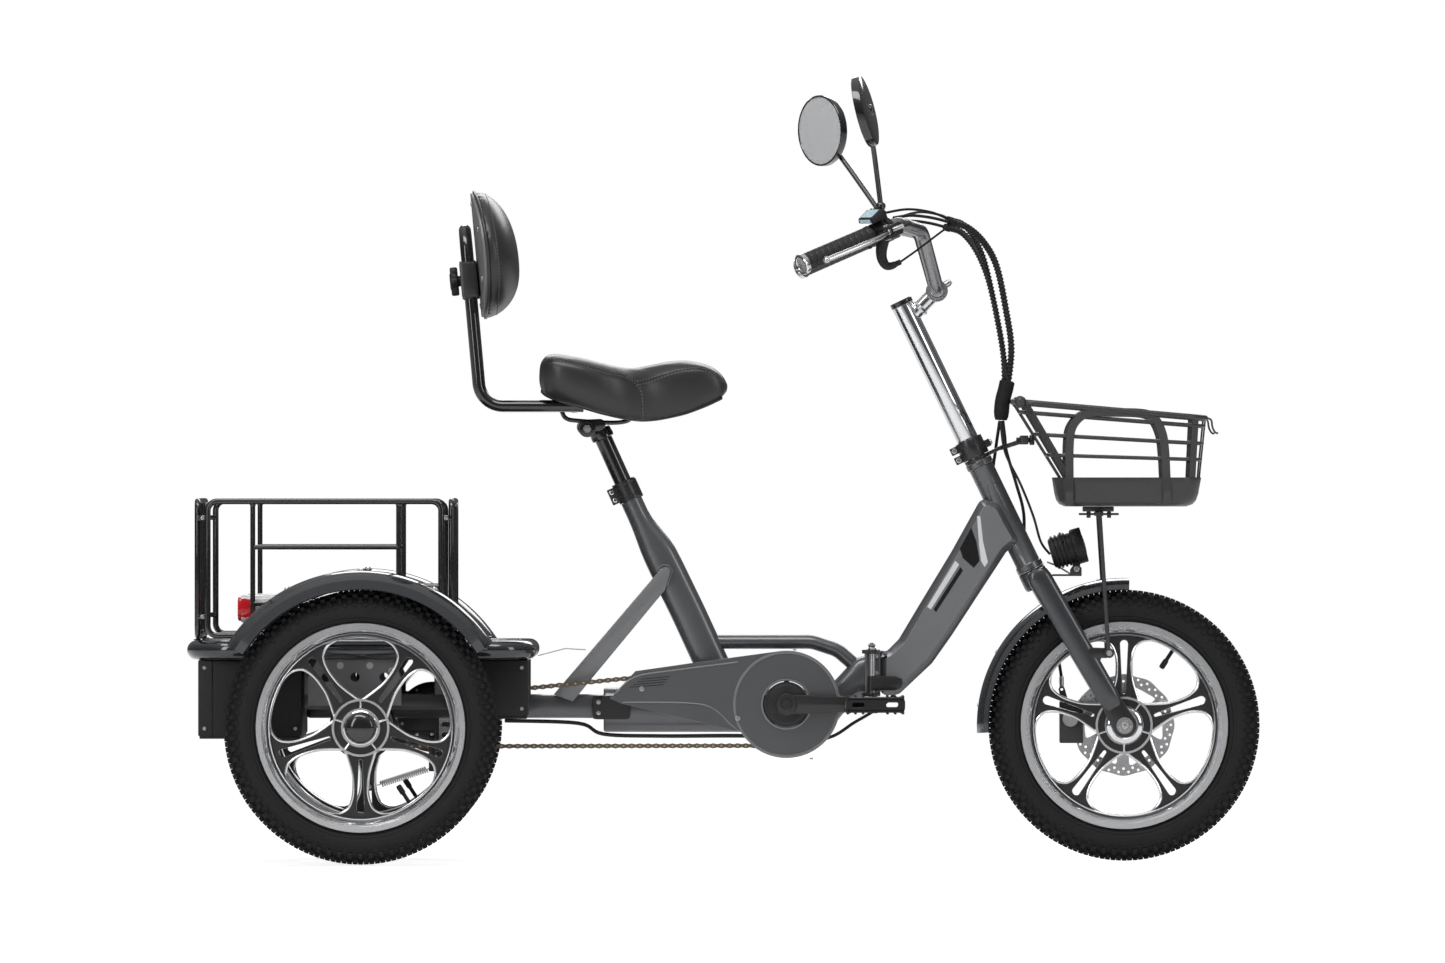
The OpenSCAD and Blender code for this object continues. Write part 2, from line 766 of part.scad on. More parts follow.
module fork() {
  color("dimgray") {
    front_group() {
      fork_blade();
      mirror([0, 1, 0]) fork_blade();
      across(crown, 19, -60, 60);
      across(front_axle_c, front_axle_r, -66, 66);
      for (s = [-1, 1]) across(front_axle_c, 10, s * 61 - 4, s * 61 + 4, $fn = 6);
      for (s = [-1, 1])
        plate([[570, 336], [560, 318], [597, 318], [606, 326], [597, 333]], s * 62 - 2, s * 62 + 2);
    }
    on_steering() {
      translate([0, 0, -240]) cylinder(r = 22, h = 30.3);
      translate([0, 0, -230]) cylinder(r = steerer_r, h = 380);
    }
  }
}

front_fender_r = tyre_r + 18;

module front_fender() {
  color([0.15, 0.15, 0.16]) {
    on_axle(front_axle_x, 0, tyre_r)
      rotate_extrude(angle = 95, start = 88, $fn = 96) fender_section(33, front_fender_r, 10);
    reach = norm(crown - front_axle_c) - 19.2;
    on_axle(front_axle_x, 0, tyre_r) rotate(120)
      translate([front_fender_r - 1, -9, -12]) cube([reach - front_fender_r + 1, 18, 24]);
  }
}

module front_caliper() {
  color([0.06, 0.06, 0.06]) front_group() difference() {
    union() {
      box(524, 561, 28, 54, 184, 250);
      plate([[545, 244], [594, 286], [612, 262], [560, 214]], 41.2, 45.4);
    }
    box(536, 570, 36, 42, 180, 260);
    box(543, 575, 42, 60, 180, 205);
  }
}

module caliper_arm() {
  color([0.12, 0.12, 0.12]) front_group() {
    strap([542, 214], [528, 268], 6, 54 + gap, 58);
    across([542, 214], 9, 54 + gap, 60);
  }
}

mount_x = 585;

module accessory_brackets() {
  color([0.12, 0.12, 0.13]) {
    on_steering() difference() {
      union() {
        translate([0, 0, -20.6]) cylinder(r = 20, h = 6);
        translate([10, -7, -20.6]) cube([40, 14, 6]);
      }
      translate([0, 0, -25]) cylinder(r = steerer_r + 0.1, h = 20);
    }
    front_group() {
      hull() {
        translate([427, -5.5, 643.5]) cube([5, 11, 5]);
        translate([464, -5.5, 655]) cube([6, 11, 6]);
      }
      box(462, 474, -60, 60, 652, 666);
      box(mount_x - 25, mount_x + 23, -30, 30, 547, 554.7);
      box(mount_x - 6, mount_x + 6, -70, 70, 540, 547);
      for (s = [-1, 1]) rod([mount_x, s * 67.5, 544], [599, s * 67.5, 326], 3, $fn = 12);
      for (s = [-1, 1]) across([600, 326], 7, s * 67.3 - 3, s * 67.3 + 3);
      box(511.8, 558, -9, 9, 446, 449);
      for (s = [-1, 1]) box(540, 558, s * 10 - 2, s * 10 + 2, 446, 463);
    }
  }
}

lamp_pivot = [550, 457];

module headlight() {
  color([0.06, 0.06, 0.06]) front_group() {
    translate([535, 0, 488]) rotate([0, -16, 0]) {
      translate([10, 0, 0]) rotate([0, 90, 0]) cylinder(r = 28, h = 18);
      translate([-26, 0, 0]) rotate([0, 90, 0]) cylinder(r = 24, h = 37);
      for (x = [-22, -12, -2]) translate([x, 0, 0]) rotate([0, 90, 0]) cylinder(r = 26.5, h = 4);
    }
    box(545, 555, -7.7, 7.7, 457, 470);
    across(lamp_pivot, 5, -7.7, 7.7);
  }
}

// ---------- front basket ----------

tray_z = [555, 603];
basket_half = basket_w / 2;

// One loop of the basket at a share of its height above the tray
function basket_ring(f, over = 0) =
  let (x0 = 523 + (451 - 523) * f - over, x1 = 740 + (749 - 740) * f + over,
       h = basket_half - 22 + 22 * f + over,
       z0 = tray_z[1] + (719 - tray_z[1]) * f, z1 = tray_z[1] + (693 - tray_z[1]) * f)
  rounded_loop([[x0, -h, z0], [x1, -h, z1], [x1, h, z1], [x0, h, z0]], 40, 4);

module stave(a, b) {
  hull() {
    translate(a) sphere(r = 3, $fn = 8);
    translate(b) sphere(r = 3, $fn = 8);
  }
}

function basket_pt(u, v, f) =
  let (x0 = 523 + (451 - 523) * f, x1 = 740 + (749 - 740) * f, h = basket_half - 22 + 22 * f)
  [x0 + (x1 - x0) * u, h * v, tray_z[1] + (719 - 26 * u - tray_z[1]) * f];

module basket() {
  color([0.08, 0.08, 0.08]) front_group() {
    tube(basket_ring(1), 4.5, 10, true);
    for (f = [0.28, 0.56, 0.86]) tube(basket_ring(f), 2.8, 8, true);
    for (v = [-1, 1], u = [0.2, 0.8]) stave(basket_pt(u, v, 0.02), basket_pt(u, v, 0.99));
    for (u = [0, 1], v = [-0.6, 0.6]) stave(basket_pt(u, v, 0.02), basket_pt(u, v, 0.99));
    for (u = [0.08, 0.92], v = [-0.93, 0.93]) stave(basket_pt(u, v, 0.02), basket_pt(u, v, 0.97));
  }
}

module tray_slab(x0, x1, half, z) {
  translate([0, 0, z]) linear_extrude(1)
    polygon(concat(arc([x0 + 36, -half + 36], 36, 180, 270, 5), arc([x1 - 36, -half + 36], 36, 270, 360, 5),
                   arc([x1 - 36, half - 36], 36, 0, 90, 5), arc([x0 + 36, half - 36], 36, 90, 180, 5)));
}

module basket_tray() {
  h = basket_half - 20;
  color([0.06, 0.06, 0.06]) front_group() difference() {
    hull() {
      tray_slab(513, 743, h, 599);
      tray_slab(517, 738, h - 4, 572);
      tray_slab(530, 722, h - 20, 555);
    }
    hull() {
      tray_slab(517, 739, h - 4, 601);
      tray_slab(521, 734, h - 8, 575);
      tray_slab(534, 718, h - 24, 559);
    }
  }
}

// ---------- stem and bars ----------

stem_len = 264;
bar_r = 11.1;
bar_clamp = [331.5, 892.3];
bar_low = [bar_clamp.x, 50, bar_clamp.y];
bar_high = [306, 118, 985];
grip_in = [224.6, 234, 976];
grip_out = [118.5, 300, 930];
grip_dir = unit(grip_out - grip_in);
bar_bend = grip_in - 55 * grip_dir;
bar_yaw = atan2(grip_dir.y, grip_dir.x);
bar_drop = -asin(grip_dir.z);

// Children on a grip: +X runs outwards along the grip, +Y forwards, from its inner end
module on_grip(side) {
  front_group() mirror([0, side < 0 ? 1 : 0, 0])
    translate(grip_in) rotate([0, 0, bar_yaw]) rotate([0, bar_drop, 0]) mirror([0, 1, 0]) children();
}

module stem_clamp() {
  color([0.05, 0.05, 0.05]) on_steering() difference() {
    union() {
      translate([0, 0, -14]) cylinder(r = 22, h = 30);
      translate([-33, -10, -13]) cube([20, 20, 12]);
      translate([-33, -10, 3]) cube([20, 20, 12]);
    }
    translate([0, 0, -20]) cylinder(r = stem_r + 0.02, h = 40);
    for (z = [-7, 9]) translate([-27, 20, z]) rotate([90, 0, 0]) cylinder(r = 2.5, h = 40);
  }
}

module stem() {
  color("silver") difference() {
    union() {
      on_steering() {
        translate([0, 0, -14]) cylinder(r = stem_r, h = stem_len);
        translate([0, 0, stem_len - 14]) cylinder(r = 18, h = 8);
      }
      front_group() rod([296, 0, 856], [bar_clamp.x, 0, bar_clamp.y], 11);
      front_group() across(bar_clamp, 17, -22, 22);
      front_group() rod([bar_clamp.x, 0, bar_clamp.y], [bar_clamp.x + 19, 0, bar_clamp.y + 13], 9);
    }
    on_steering() translate([0, 0, -15]) cylinder(r = steerer_r + run_fit, h = 240);
    front_group() across(bar_clamp, bar_r + 0.05, -30, 30);
  }
}

module handlebar() {
  half = rounded([[bar_clamp.x, 0, bar_clamp.y], bar_low, bar_high, bar_bend, grip_out], 32, 5);
  whole = concat([for (i = [len(half) - 1:-1:1]) [half[i].x, -half[i].y, half[i].z]],
                 [for (i = [1:len(half) - 1]) half[i]]);
  color("silver") front_group() {
    tube(whole, bar_r - 0.15, 16);
    for (y = [-41, 23]) across(bar_clamp, bar_r + 0.05, y, y + 18);
  }
}

module grip() {
  difference() {
    union() {
      rotate([0, 90, 0]) cylinder(r = 14.5, h = grip_len);
      for (x = [0, grip_len - 5]) translate([x, 0, 0]) rotate([0, 90, 0]) cylinder(r = 16, h = 5);
    }
    translate([-1, 0, 0]) rotate([0, 90, 0]) cylinder(r = bar_r + 0.05, h = norm(grip_out - grip_in) + 1.3);
  }
}

module grips() { color([0.05, 0.05, 0.05]) for (s = [-1, 1]) on_grip(s) grip(); }

lever_pivot = [-14, 30];
mirror_at = -35;
mirror_up = 36;
grip_up = [sin(bar_drop) * cos(bar_yaw), sin(bar_drop) * sin(bar_yaw), cos(bar_drop)];

module perch() {
  difference() {
    union() {
      translate([-24, 0, 0]) rotate([0, 90, 0]) cylinder(r = 15.5, h = 18);
      translate([-22, 8, -7]) cube([16, 14, 14]);
      translate([-24, 20, -9]) cube([20, 20, 3.8]);
      translate([-24, 20, 5.2]) cube([20, 20, 3.8]);
      translate([lever_pivot.x, lever_pivot.y, -9]) cylinder(r = 3, h = 18);
      translate([-40, 0, 0]) rotate([0, 90, 0]) cylinder(r = 15.5, h = 10);
      translate([mirror_at, 0, 8]) cylinder(r = 4.6, h = mirror_up - 16);
    }
    translate([-45, 0, 0]) rotate([0, 90, 0]) cylinder(r = bar_r + 0.05, h = 45);
  }
}

module perches() { color([0.06, 0.06, 0.06]) for (s = [-1, 1]) on_grip(s) perch(); }

module brake_lever() {
  difference() {
    union() {
      translate([lever_pivot.x, lever_pivot.y, -4.9]) cylinder(r = 7, h = 9.8);
      hull() {
        translate([lever_pivot.x, lever_pivot.y, -4]) cylinder(r = 6, h = 8, $fn = 24);
        translate([20, 46, -4]) cylinder(r = 5, h = 8, $fn = 24);
      }
      hull() {
        translate([20, 46, -4]) cylinder(r = 5, h = 8, $fn = 24);
        translate([112, 42, -4]) cylinder(r = 5.5, h = 8, $fn = 24);
      }
    }
    translate([lever_pivot.x, lever_pivot.y, -10]) cylinder(r = 3 + run_fit, h = 20);
  }
}

module brake_lever_right() { color("silver") on_grip(-1) brake_lever(); }

module brake_lever_left() { color("silver") on_grip(1) brake_lever(); }

module throttle() {
  color([0.07, 0.07, 0.07]) on_grip(-1) difference() {
    union() {
      translate([-5.7, 0, 0]) rotate([0, 90, 0]) cylinder(r = 14, h = 5.4);
      translate([-5.7, -22, -18]) cube([5.4, 14, 12]);
    }
    translate([-30, 0, 0]) rotate([0, 90, 0]) cylinder(r = bar_r + 0.15, h = 60);
  }
}

module display() {
  color([0.07, 0.07, 0.07]) on_grip(-1) difference() {
    union() {
      translate([-29.7, 0, 0]) rotate([0, 90, 0]) cylinder(r = 14, h = 5.4);
      translate([-26, -20, 19]) cube([24, 40, 14]);
      translate([-29.7, -6, 8]) cube([5.4, 12, 12]);
    }
    translate([-60, 0, 0]) rotate([0, 90, 0]) cylinder(r = bar_r + 0.3, h = 60);
  }
}

// Mirror head of round shape, facing along the normal given by yaw and tilt
module mirror_head(c, yaw, tilt) {
  translate(c) rotate([0, 0, yaw]) rotate([0, 90 + tilt, 0]) {
    cylinder(r = mirror_d / 2, h = 5);
    translate([0, 0, -7]) cylinder(r = mirror_d / 2 - 6, h = 7.5);
    translate([0, 0, -11]) cylinder(r = 9, h = 5);
  }
}

mirror_pivot = grip_in + mirror_at * grip_dir + mirror_up * grip_up;

module mirror_right() {
  p = [mirror_pivot.x, -mirror_pivot.y, mirror_pivot.z];
  color([0.06, 0.06, 0.06]) front_group() {
    mirror_head([216, -262, 1168], 170, 13.7);
    tube([p, [232, -232, 1100], [224, -258, 1150], [226, -262, 1165]], 4, 10);
    translate(p) sphere(r = 7.7);
  }
}

module mirror_left() {
  p = mirror_pivot;
  color([0.06, 0.06, 0.06]) front_group() {
    mirror_head([153, 262, 1148], 218, 2);
    tube([p, [205, 242, 1075], [168, 262, 1128], [164, 270, 1146]], 4, 10);
    translate(p) sphere(r = 7.7);
  }
}

// ---------- cables ----------

hose_right = [[318, -150, 1000], [352, -95, 997], [398, -50, 975], [425, -20, 930], [440, -10, 860],
              [448, -4, 800], [440, 0, 735]];
hose_left = [[318, 150, 1000], [350, 90, 992], [390, 50, 962], [412, 22, 915], [426, 12, 850],
             [436, 8, 790], [440, 9, 740]];
hose_mid = [[276, -165, 1013], [330, -70, 1006], [376, -26, 992], [410, -8, 940], [428, 2, 870],
            [440, 4, 800], [442, -9, 738]];

function smooth(p, n = 4) = [
  for (i = [0:len(p) - 2], k = [0:n - 1])
    let (a = p[max(i - 1, 0)], b = p[i], c = p[i + 1], d = p[min(i + 2, len(p) - 1)], t = k / n)
    0.5 * (2 * b + (c - a) * t + (2 * a - 5 * b + 4 * c - d) * t * t + (3 * b - a - 3 * c + d) * t * t * t),
  p[len(p) - 1]
];

module cable_hoses() {
  color([0.04, 0.04, 0.04]) front_group() {
    for (p = [hose_right, hose_left, hose_mid]) tube(smooth(p, 3), 5, 8);
    tube([[441, 0, 748], [434, 0, 720], [432, 0, 690]], 12, 12);
  }
}

front_brake_route = [[435, 2, 688.5], [438, 10.5, 665], [441, 12, 640], [456, 16, 590],
                     [468, 44, 545], [472, 74, 480], [500, 78, 400], [520, 74, 330], [528, 62, 285]];
lamp_route = [[431, -8, 688.5], [438, -16, 640], [462, -28, 590], [482, -24, 540], [494, -8, 500],
              [508.4, 0, 480.3]];

module front_cables() {
  color([0.04, 0.04, 0.04]) front_group() {
    tube(smooth(front_brake_route, 3), 2.6, 8);
    tube(smooth(lamp_route, 3), 2, 8);
  }
}

rear_route = [[430, 7, 688.5], [424, 24, 645], [420, 31, 600], [432, 31, 540], [400, 31, 450],
              [352, 31, 372], [316, 31, 318], [276, 31, 274], [250, 31, 246], [205, 24, 218],
              [150, 18, 190], [40, 14, 195], [-100, 14, 195], [-190, 14, 198], [-230, 14, 215],
              [-345, 12, 219]];

module rear_cable() {
  color([0.04, 0.04, 0.04]) translate([rear_shift, 0, lift]) tube(smooth(rear_route, 3), 2.6, 8);
}

// ---------- seat ----------

module seatpost() {
  color([0.07, 0.07, 0.07]) {
    on_post() translate([0, 0, collar_s - post_in]) cylinder(r = post_r, h = post_in + 122);
    rear_group() {
      across([-206, 680], 11, -22, 22);
      for (s = [-1, 1]) {
        rod([-262, s * 22, 694], [-150, s * 22, 680], 3.5, $fn = 12);
        rod([-262, s * 22, 694], [-270, s * 22, 722], 3.5, $fn = 12);
        rod([-150, s * 22, 680], [-120, s * 22, 690], 3.5, $fn = 12);
      }
      across([-215, 677], 6, -28, 28);
    }
  }
}

module lobe(x, y, z, r, flat) {
  translate([x, y, z]) scale([1, 1, flat]) sphere(r = r, $fn = 24);
}

module saddle() {
  color([0.1, 0.1, 0.1]) rear_group() difference() {
    union() {
      hull() {
        for (s = [-1, 1]) lobe(-245, s * 70, 762, 46, 0.66);
        for (s = [-1, 1]) lobe(-160, s * 66, 738, 44, 0.85);
      }
      hull() {
        for (s = [-1, 1]) lobe(-185, s * 45, 735, 44, 0.9);
        lobe(-30, 0, 757, 36, 0.66);
      }
    }
    box(-300, 60, -200, 200, 600, 688);
    box(-300, -100, -70, 70, 600, 722);
  }
}

back_lean = 5.2;
back_foot = [-388.7, 784];

function back_at(z) = back_foot.x - (z - back_foot.y) * tan(back_lean);

module backrest_tube() {
  y = 60;
  path = rounded([[-225, -y, 712], [back_at(712), -y, 712], [back_at(987), -y, 987],
                  [back_at(987), y, 987], [back_at(712), y, 712], [-225, y, 712]], 38, 5);
  color([0.07, 0.07, 0.07]) rear_group() {
    tube(path, back_r, 16);
    box(-245, -228, -y, y, 706, 718);
  }
}

module backrest_shell() {
  color([0.07, 0.07, 0.07]) rear_group() translate([back_at(909), 0, 909]) rotate([0, -back_lean, 0])
    difference() {
      union() {
        translate([-13, -78, -28]) cube([28, 156, 56]);
        translate([14, 0, 38]) rotate([0, 90, 0]) linear_extrude(5)
          polygon([for (i = [0:47]) let (a = 7.5 * i)
            [97 * cos(a), 148 * sign(sin(a)) * pow(abs(sin(a)), 0.8)]]);
      }
      for (s = [-1, 1]) translate([0, 60 * s, -120]) cylinder(r = back_r + 0.1, h = 300);
    }
}

module backrest_pad() {
  color([0.08, 0.08, 0.08]) rear_group() translate([back_at(909), 0, 909]) rotate([0, -back_lean, 0])
    translate([19.3, 0, 38]) hull() {
      rotate([0, 90, 0]) linear_extrude(1) polygon([for (i = [0:31]) let (a = 11.25 * i)
        [100 * cos(a), 150 * sign(sin(a)) * pow(abs(sin(a)), 0.8)]]);
      translate([40, 0, -15]) rotate([0, 90, 0]) linear_extrude(20) polygon([for (i = [0:23]) let (a = 15 * i)
        [60 * cos(a), 110 * sin(a)]]);
    }
}

module knob() {
  color([0.05, 0.05, 0.05]) rear_group() translate([back_at(909), 0, 909]) rotate([0, -back_lean, 0])
    translate([-13.3, 0, 0]) rotate([0, -90, 0]) {
      cylinder(r = 8, h = 6);
      translate([0, 0, 5]) linear_extrude(11)
        polygon([for (i = [0:47]) let (a = 7.5 * i, r = 22 + 3 * cos(6 * a)) [r * cos(a), r * sin(a)]]);
    }
}

// ---------- nodes ----------

rear_frame();
chainguard();
chain();
battery_pack();
seatpost_clamp();
carriage_frame();
bumper_loop();
cargo_tray();
cargo_rack();
skirt_boxes();
rear_fender_right();
rear_fender_left();
tail_lights();
tail_lenses();
motor();
band_brake();
brake_arm();
brake_spring();
rear_cable();
front_frame();
fold_lever();
fork();
front_fender();
front_caliper();
caliper_arm();
accessory_brackets();
headlight();
basket();
basket_tray();
front_cables();
front_tyre();
front_rim();
brake_rotor();
stem_clamp();
stem();
handlebar();
grips();
perches();
display();
throttle();
brake_lever_right();
brake_lever_left();
mirror_right();
mirror_left();
cable_hoses();
rear_tyre_right();
rear_rim_right();
rear_tyre_left();
rear_rim_left();
rear_axle();
freewheel();
crankset();
pedal_right();
pedal_left();
seatpost();
saddle();
backrest_tube();
backrest_pad();
backrest_shell();
knob();
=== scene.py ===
"""Looks of a folding cargo tricycle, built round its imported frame.

Shapes are given in millimetres in the row frame: +X forward, +Y to the rider's left, +Z up.
"""
import bmesh
import bpy
import math
from mathutils import Matrix, Vector
from mathutils.bvhtree import BVHTree


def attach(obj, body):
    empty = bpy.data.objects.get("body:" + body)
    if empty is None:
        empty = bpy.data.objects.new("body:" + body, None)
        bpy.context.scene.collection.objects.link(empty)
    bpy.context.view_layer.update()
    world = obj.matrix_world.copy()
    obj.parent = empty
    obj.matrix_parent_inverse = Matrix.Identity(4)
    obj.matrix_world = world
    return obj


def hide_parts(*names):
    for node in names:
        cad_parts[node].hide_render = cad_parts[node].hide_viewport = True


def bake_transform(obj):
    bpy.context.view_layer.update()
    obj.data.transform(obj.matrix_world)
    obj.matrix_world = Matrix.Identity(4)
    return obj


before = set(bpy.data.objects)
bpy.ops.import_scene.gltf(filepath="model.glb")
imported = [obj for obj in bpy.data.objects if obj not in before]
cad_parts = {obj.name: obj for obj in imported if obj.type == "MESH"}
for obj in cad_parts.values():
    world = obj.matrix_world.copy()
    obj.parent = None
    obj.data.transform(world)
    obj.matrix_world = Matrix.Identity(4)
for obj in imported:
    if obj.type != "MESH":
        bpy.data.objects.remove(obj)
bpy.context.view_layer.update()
MM = 0.001
AX, AY, AZ = Vector((1, 0, 0)), Vector((0, 1, 0)), Vector((0, 0, 1))


# ---------- shader groups ----------

def shader_group(name, inputs, outputs):
    """An empty shader group with named sockets, and its input and output nodes."""
    tree = bpy.data.node_groups.new(name, "ShaderNodeTree")
    for label, kind, value in inputs:
        socket = tree.interface.new_socket(name=label, in_out="INPUT", socket_type=kind)
        socket.default_value = value
    for label, kind in outputs:
        tree.interface.new_socket(name=label, in_out="OUTPUT", socket_type=kind)
    return tree, tree.nodes.new("NodeGroupInput"), tree.nodes.new("NodeGroupOutput")


def node(tree, kind, **settings):
    made = tree.nodes.new(kind)
    for key, value in settings.items():
        if key in made.inputs:
            made.inputs[key].default_value = value
        else:
            setattr(made, key, value)
    return made


def noise(tree, place, scale, detail=4.0):
    made = node(tree, "ShaderNodeTexNoise", Detail=detail)
    if isinstance(scale, float):
        made.inputs["Scale"].default_value = scale
    else:
        tree.links.new(scale, made.inputs["Scale"])
    tree.links.new(place, made.inputs["Vector"])
    return made.outputs["Fac"]


def arithmetic(tree, operation, a, b, c=None):
    made = node(tree, "ShaderNodeMath", operation=operation)
    for index, value in enumerate((a, b, c)):
        if value is None:
            continue
        if isinstance(value, (int, float)):
            made.inputs[index].default_value = value
        else:
            tree.links.new(value, made.inputs[index])
    return made.outputs[0]


def tinted(tree, colour, factor):
    """The colour times a grey factor."""
    made = node(tree, "ShaderNodeVectorMath", operation="SCALE")
    tree.links.new(colour, made.inputs[0])
    tree.links.new(factor, made.inputs["Scale"])
    return made.outputs[0]


SURFACE_SOCKETS = [("Color", "NodeSocketColor", (0.5, 0.5, 0.5, 1)), ("Shade", "NodeSocketFloat", 0.1),
                   ("Scale", "NodeSocketFloat", 20.0), ("Roughness", "NodeSocketFloat", 0.4),
                   ("Spread", "NodeSocketFloat", 0.1)]
SURFACE_OUTPUTS = [("Color", "NodeSocketColor"), ("Roughness", "NodeSocketFloat"), ("Height", "NodeSocketFloat")]


def finish_group(name, grain):
    """A group that varies colour and roughness broadly and adds the height that grain() returns."""
    tree, start, end = shader_group(name, SURFACE_SOCKETS, SURFACE_OUTPUTS)
    place = node(tree, "ShaderNodeTexCoord").outputs["Object"]
    broad = noise(tree, place, start.outputs["Scale"], 5.0)
    offset = arithmetic(tree, "SUBTRACT", broad, 0.5)
    height, darken = grain(tree, place)
    shade = arithmetic(tree, "MULTIPLY_ADD", arithmetic(tree, "ADD", offset, darken), start.outputs["Shade"], 1.0)
    rough = arithmetic(tree, "MULTIPLY_ADD", offset, start.outputs["Spread"], start.outputs["Roughness"])
    tree.links.new(tinted(tree, start.outputs["Color"], shade), end.inputs["Color"])
    tree.links.new(rough, end.inputs["Roughness"])
    tree.links.new(height, end.inputs["Height"])
    return tree


def cells(tree, place, scale, feature="F1"):
    made = node(tree, "ShaderNodeTexVoronoi", feature=feature, Scale=scale)
    tree.links.new(place, made.inputs["Vector"])
    return made.outputs["Distance"]


def stretched(tree, place, factors):
    made = node(tree, "ShaderNodeVectorMath", operation="MULTIPLY")
    tree.links.new(place, made.inputs[0])
    made.inputs[1].default_value = factors
    return made.outputs[0]


def paint_flakes(tree, place):
    flake = cells(tree, place, 1400.0)
    return noise(tree, place, 260.0, 2.0), arithmetic(tree, "SUBTRACT", flake, 0.4)


def moulded_grain(tree, place):
    return noise(tree, place, 900.0, 3.0), arithmetic(tree, "SUBTRACT", noise(tree, place, 300.0), 0.5)


def turned_lines(tree, place):
    fine = noise(tree, stretched(tree, place, (60.0, 1500.0, 60.0)), 1.0, 3.0)
    return fine, arithmetic(tree, "SUBTRACT", fine, 0.5)


def vinyl_pebble(tree, place):
    pebble = cells(tree, place, 620.0)
    crease = arithmetic(tree, "MULTIPLY_ADD", noise(tree, place, 240.0), 0.6, pebble)
    # The colour follows the grain's relief and is darker in its hollows: painted shade.
    return crease, arithmetic(tree, "SUBTRACT", pebble, 0.5)


PAINT = finish_group("Paint_Flakes", paint_flakes)
MOULDED = finish_group("Moulded_Grain", moulded_grain)
TURNED = finish_group("Turned_Lines", turned_lines)
PEBBLE = finish_group("Vinyl_Pebble", vinyl_pebble)


def finish(name, group, colour, roughness, metallic=0.0, shade=0.15, scale=20.0, spread=0.1, bump=0.1,
           coat=0.0, coat_roughness=0.08, specular=0.5):
    """A material whose colour, roughness and fine relief come from a group."""
    made = bpy.data.materials.new(name)
    made.use_nodes = True
    tree = made.node_tree
    shader = tree.nodes["Principled BSDF"]
    surface = node(tree, "ShaderNodeGroup", node_tree=group)
    surface.inputs["Color"].default_value = (*colour, 1)
    surface.inputs["Shade"].default_value = shade
    surface.inputs["Scale"].default_value = scale
    surface.inputs["Roughness"].default_value = roughness
    surface.inputs["Spread"].default_value = spread
    relief = node(tree, "ShaderNodeBump", Strength=bump, Distance=0.0004)
    tree.links.new(surface.outputs["Height"], relief.inputs["Height"])
    tree.links.new(relief.outputs["Normal"], shader.inputs["Normal"])
    tree.links.new(surface.outputs["Color"], shader.inputs["Base Color"])
    tree.links.new(surface.outputs["Roughness"], shader.inputs["Roughness"])
    shader.inputs["Metallic"].default_value = metallic
    shader.inputs["Coat Weight"].default_value = coat
    shader.inputs["Coat Roughness"].default_value = coat_roughness
    shader.inputs["Specular IOR Level"].default_value = specular
    made.diffuse_color = (*colour, 1)
    return made


FRAME_GREY = finish("Frame_Grey_Paint", PAINT, (0.125, 0.128, 0.135), 0.34, 0.55, 0.14, 6.0, 0.05, 0.012, 0.6)
# A lighter copy of the frame paint for flat faces, a guard ring and weld beads that face the light: painted highlight.
FRAME_GREY_PAINTED_HIGHLIGHT = finish("Frame_Grey_Painted_Highlight", PAINT, (0.2, 0.203, 0.208), 0.42, 0.35, 0.1, 5.0, 0.05, 0.012, 0.35)
FORK_GREY = finish("Fork_Grey_Paint", PAINT, (0.06, 0.062, 0.068), 0.3, 0.5, 0.14, 7.0, 0.05, 0.012, 0.7)
GLOSS_GREY = finish("Fender_Gloss", PAINT, (0.03, 0.032, 0.037), 0.16, 0.35, 0.14, 6.0, 0.03, 0.006, 1.0, 0.04)
GLOSS_BLACK = finish("Gloss_Black", PAINT, (0.01, 0.01, 0.011), 0.16, 0.0, 0.2, 8.0, 0.03, 0.006, 1.0, 0.04)
SATIN_BLACK = finish("Satin_Black_Paint", PAINT, (0.018, 0.018, 0.019), 0.34, 0.0, 0.3, 12.0, 0.08, 0.06, 0.3, 0.2)
PLASTIC = finish("Moulded_Black", MOULDED, (0.016, 0.016, 0.0165), 0.46, 0.0, 0.3, 14.0, 0.1, 0.2, 0.0, 0.08, 0.32)
BASKET_GREY = finish("Basket_Coating", MOULDED, (0.04, 0.04, 0.042), 0.4, 0.0, 0.25, 12.0, 0.1, 0.15, 0.15, 0.3)
RUBBER = finish("Tyre_Rubber", MOULDED, (0.014, 0.014, 0.0145), 0.62, 0.0, 0.35, 18.0, 0.12, 0.3, 0.0, 0.3, 0.22)
GRIP_RUBBER = finish("Grip_Rubber", MOULDED, (0.016, 0.016, 0.016), 0.5, 0.0, 0.3, 40.0, 0.1, 0.3)
VINYL = finish("Saddle_Vinyl", PEBBLE, (0.024, 0.024, 0.025), 0.36, 0.0, 0.16, 9.0, 0.06, 0.1, 0.15, 0.28)
THREAD = finish("Saddle_Thread", MOULDED, (0.15, 0.15, 0.155), 0.7, 0.0, 0.2, 60.0, 0.1, 0.3)
CHROME = finish("Chrome", TURNED, (0.84, 0.85, 0.86), 0.1, 1.0, 0.04, 9.0, 0.03, 0.003)
ALLOY = finish("Brushed_Alloy", TURNED, (0.62, 0.62, 0.63), 0.26, 1.0, 0.1, 14.0, 0.08, 0.05)
DARK_ALLOY = finish("Shadowed_Alloy", TURNED, (0.34, 0.34, 0.35), 0.28, 1.0, 0.1, 14.0, 0.08, 0.05)
MACHINED = finish("Machined_Rim", TURNED, (0.78, 0.78, 0.79), 0.24, 0.95, 0.05, 14.0, 0.08, 0.03)
WHEEL_BLACK = finish("Wheel_Black", PAINT, (0.02, 0.02, 0.021), 0.3, 0.1, 0.25, 10.0, 0.08, 0.05, 0.4, 0.15)
STEEL = finish("Zinc_Steel", TURNED, (0.5, 0.5, 0.5), 0.32, 0.9, 0.15, 30.0, 0.12, 0.06)
